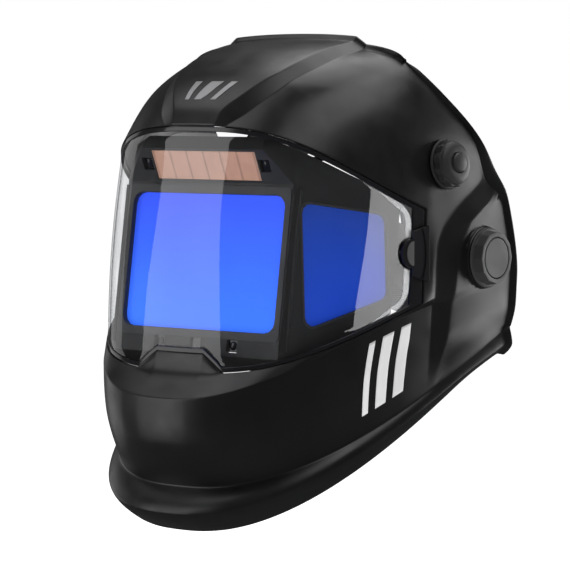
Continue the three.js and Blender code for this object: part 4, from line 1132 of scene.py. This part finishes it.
def make_sweatband():
    """Towelling pad round the front of the headband."""
    path = []
    for i in range(-7, 8):
        a = abs(i) / 8 * math.pi / 2
        x = math.copysign(BAND_HALF * math.sin(a) ** 0.87, i)
        path.append((x, BAND_SIDE_Y - (BAND_SIDE_Y - BAND_FRONT_Y) * math.cos(a) ** 0.87))
    flat = resampled(path, 2.6)
    tangent = np.gradient(flat, axis=0)
    inward = np.stack([-tangent[:, 1], tangent[:, 0]], 1)
    inward /= np.linalg.norm(inward, axis=1, keepdims=True)
    inward *= np.sign(inward[len(flat) // 2, 1])
    offset = BAND_THICK / 2 + 0.5 + 2.9
    flat = flat + inward * offset
    band_y = flat[:, 1] - inward[:, 1] * offset
    height, half = table(BAND_HEIGHT, band_y), 1.08 * table(BAND_UP, band_y)
    centres = np.column_stack([flat, height])
    normals = np.column_stack([inward, np.zeros(len(flat))])
    seams = [0.12, 0.28, 0.43, 0.57, 0.72, 0.88]
    return soft_strip("sweatband_towelling", centres, normals, half, 2.8, seams)


def make_rear_pad():
    """Cushion in front of the ratchet housing."""
    low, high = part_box("rear_pad")
    centre_z = (low.z + high.z) / 2 / MM
    y = (low.y + high.y) / 2 / MM
    across = np.arange(low.x / MM + 0.6, high.x / MM - 0.5, 2.2)
    centres = np.column_stack([across, np.full_like(across, y), np.full_like(across, centre_z)])
    normals = np.tile([0.0, -1.0, 0.0], (len(across), 1))
    half = (high.z - low.z) / 2 / MM * (0.72 + 0.27 * (1 - (across / across[-1]) ** 6))
    return soft_strip("rear_cushion", centres, normals, half, (high.y - low.y) / 2 / MM - 0.5, [0.3, 0.7])


# ---------------------------------------------------------------- assembly

make_camera()
make_floor()
make_studio()

def grey(level, blue=None):
    """Neutral colour, or one whose blue differs a little."""
    return level, level, level if blue is None else blue


# Slot, name, darkest and lightest colour, roughness, grain scale, grain strength, painted edge highlight
# colour, specular.
PLASTICS = [
    ("shell", "shell_satin", (0.0045, 0.0048), (0.0065, 0.0068), 0.33, 1500, 0.1, (0.02, 0.021), 0.5),
    ("gloss", "gloss_black", (0.006, 0.007), (0.01, 0.011), 0.14, 900, 0.03, (0.03, 0.032), 0.5),
    ("cartridge", "cartridge_plastic", (0.018,), (0.026,), 0.5, 1300, 0.14, (0.06,), 0.5),
    ("inner", "inner_plastic", (0.012, 0.013), (0.02, 0.021), 0.6, 1300, 0.16, None, 0.5),
    ("sensor", "sensor_window", (0.004, 0.005), (0.008, 0.01), 0.12, 600, 0.02, None, 0.5),
    ("button", "button_rubber", (0.1, 0.105), (0.14, 0.145), 0.6, 1100, 0.15, None, 0.5),
    ("knob", "knob_nylon", (0.03, 0.031), (0.042, 0.043), 0.5, 1200, 0.16, (0.07, 0.072), 0.5),
    ("dark_knob", "dark_knob_nylon", (0.017, 0.018), (0.025, 0.026), 0.5, 1200, 0.16, (0.045, 0.046), 0.5),
    ("headgear", "headgear_nylon", (0.016, 0.017), (0.026, 0.027), 0.55, 1000, 0.2, (0.06,), 0.5),
    ("rubber", "friction_rubber", (0.01,), (0.016,), 0.85, 700, 0.25, None, 0.25),
    ("latch", "latch_nylon", (0.045,), (0.06,), 0.45, 900, 0.1, (0.1,), 0.5),
    ("lip", "window_lip", (0.03,), (0.042,), 0.45, 1300, 0.12, None, 0.5),
    ("paint", "white_paint", (0.62,), (0.78,), 0.45, 900, 0.06, None, 0.5),
    ("silver_paint", "silver_paint", (0.3, 0.31), (0.42, 0.43), 0.3, 900, 0.08, None, 0.5),
]
finishes = {
    "clear": make_clear_cover(),
    "flange": make_cover_flange(),
    "front_glass": make_filter_glass_with_painted_light("front_filter_glass", (0.026, 0.07, 0.74), (0.035, 0.165, 1.0),
                                     -0.045, 0.045, 0.78),
    # The side filters take a darker copy of the same glass: painted shade, with a weaker painted glow.
    "side_glass": make_filter_glass_with_painted_light("side_filter_glass", (0.006, 0.03, 0.26), (0.008, 0.05, 0.48),
                                    -0.045, 0.04, 0.5),
    "solar": make_solar(),
    "board": make_board(),
    "display": make_display(),
    "steel": make_metal("bright_steel", grey(0.45, 0.46), grey(0.6, 0.61), 0.22),
    "towel": make_weave("towelling", grey(0.02, 0.022), grey(0.045, 0.048)),
}
for key, name, low, high, roughness, grain, strength, edge, specular in PLASTICS:
    finishes[key] = moulded(name, grey(*low), grey(*high), roughness, grain, strength,
                            edge and grey(*edge), specular)


def pairs(*names):
    """Names of the left and right pieces."""
    return [name + side for name in names for side in ("_left", "_right")]


# Finish, edge rounding in millimetres, and the CAD nodes that keep their own shape.
NODE_FINISHES = [
    ("cartridge", 0.5, ["cartridge_housing"]),
    ("inner", 0.4, ["rear_frame", "control_box", "shade_knob_base"]),
    ("clear", 0.15, ["inner_cover_plate"]),
    ("front_glass", 0.4, ["front_filter"]),
    ("side_glass", 0.4, pairs("side_filter")),
    ("solar", 0.1, ["solar_panel"]),
    ("sensor", 0.15, [*pairs("upper_sensor", "lower_sensor"), "infrared_window"]),
    ("board", 0.1, ["circuit_board"]),
    ("display", 0.2, ["display_panel"]),
    ("button", 0.2, ["menu_button", "down_button", "up_button"]),
    ("knob", 0.35, pairs("battery_tray")),
    ("dark_knob", 0.35, ["shade_knob", "grind_button"]),
    ("knob", 0.5, pairs("tension_knob")),
    ("knob", 0.2, pairs("knob_cap")),
    ("steel", 0.2, ["potentiometer", *pairs("coin_cell", "pivot_bolt")]),
    ("rubber", 0.2, ["control_cable", *pairs("pivot_washer")]),
    ("headgear", 0.4, pairs("angle_disc", "side_arm", "slide_pin", "front_strap", "rear_strap",
                            "band_tail")),
    ("headgear", 0.4, ["headband", "front_strap_pin", "rear_strap_pin", "ratchet_housing", "pinion",
                       "ratchet_knob"]),
]
for finish, rounding, names in NODE_FINISHES:
    for name in names:
        paste(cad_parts[name], finishes[finish])
        soften(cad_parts[name], rounding * MM)


def place(piece, finish, body, slot, *nodes):
    """Gives a new piece its material and body, and puts it in place of its CAD nodes. The slot argument is
    not used.
    """
    paste(piece, finishes[finish])
    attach(piece, body)
    if nodes:
        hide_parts(*nodes)


place(make_shell(), "shell", "helmet", "shell", "shell")
place(make_bezel(), "gloss", "helmet", "gloss_trim", "lens_bezel")
place(make_cover(), "clear", "helmet", "clear_cover", "cover_lens")
place(make_cover_border(), "flange", "helmet", "clear_cover")
clips_and_pads = [make_latch()]
clips_and_pads.append([mirrored(obj, obj.name.replace("left", "right")) for obj in clips_and_pads[0]])
for label, (clip, pad) in zip(("left", "right"), clips_and_pads):
    place(clip, "gloss", "latch_" + label, "gloss_trim", "cover_latch_" + label)
    place(pad, "latch", "latch_" + label, "gloss_trim")
    soften(clip, 0.3 * MM, 35)
    soften(pad, 0.3 * MM, 35)
for lip in make_window_frames():
    place(lip, "lip", "helmet", "cartridge")
    soften(lip, 0.15 * MM, 35)
for side, label in ((1, "left"), (-1, "right")):
    for k, (along, radius) in enumerate(((0.1, 0.9), (0.85, 1.2))):
        bead = corner_rib(f"corner_bead_{label}_{k}", along, radius, side)
        place(bead, "cartridge", "helmet", "cartridge")
for piece, finish in make_marks():
    place(piece, finish, "helmet", "shell")
for piece, node in ((make_sweatband(), "sweatband"), (make_rear_pad(), "rear_pad")):
    place(piece, "towel", "headgear", "sweat_fabric", node)

# One softbox shows in the cover's rear end alone; two others would draw hard lines along its upper edge.
def light_linked(lamp, state, *names):
    """Makes a lamp light only the named pieces (INCLUDE) or all but them (EXCLUDE)."""
    group = bpy.data.collections.new(lamp + "_pieces")
    for name in names:
        group.objects.link(bpy.data.objects[name])
    for entry in group.collection_objects:
        entry.light_linking.link_state = state
    bpy.data.objects[lamp].light_linking.receiver_collection = group


light_linked("cover_softbox", "INCLUDE", "clear_cover", "cover_border")
for lamp in ("top_softbox", "back_softbox"):
    light_linked(lamp, "EXCLUDE", "clear_cover", "cover_border")
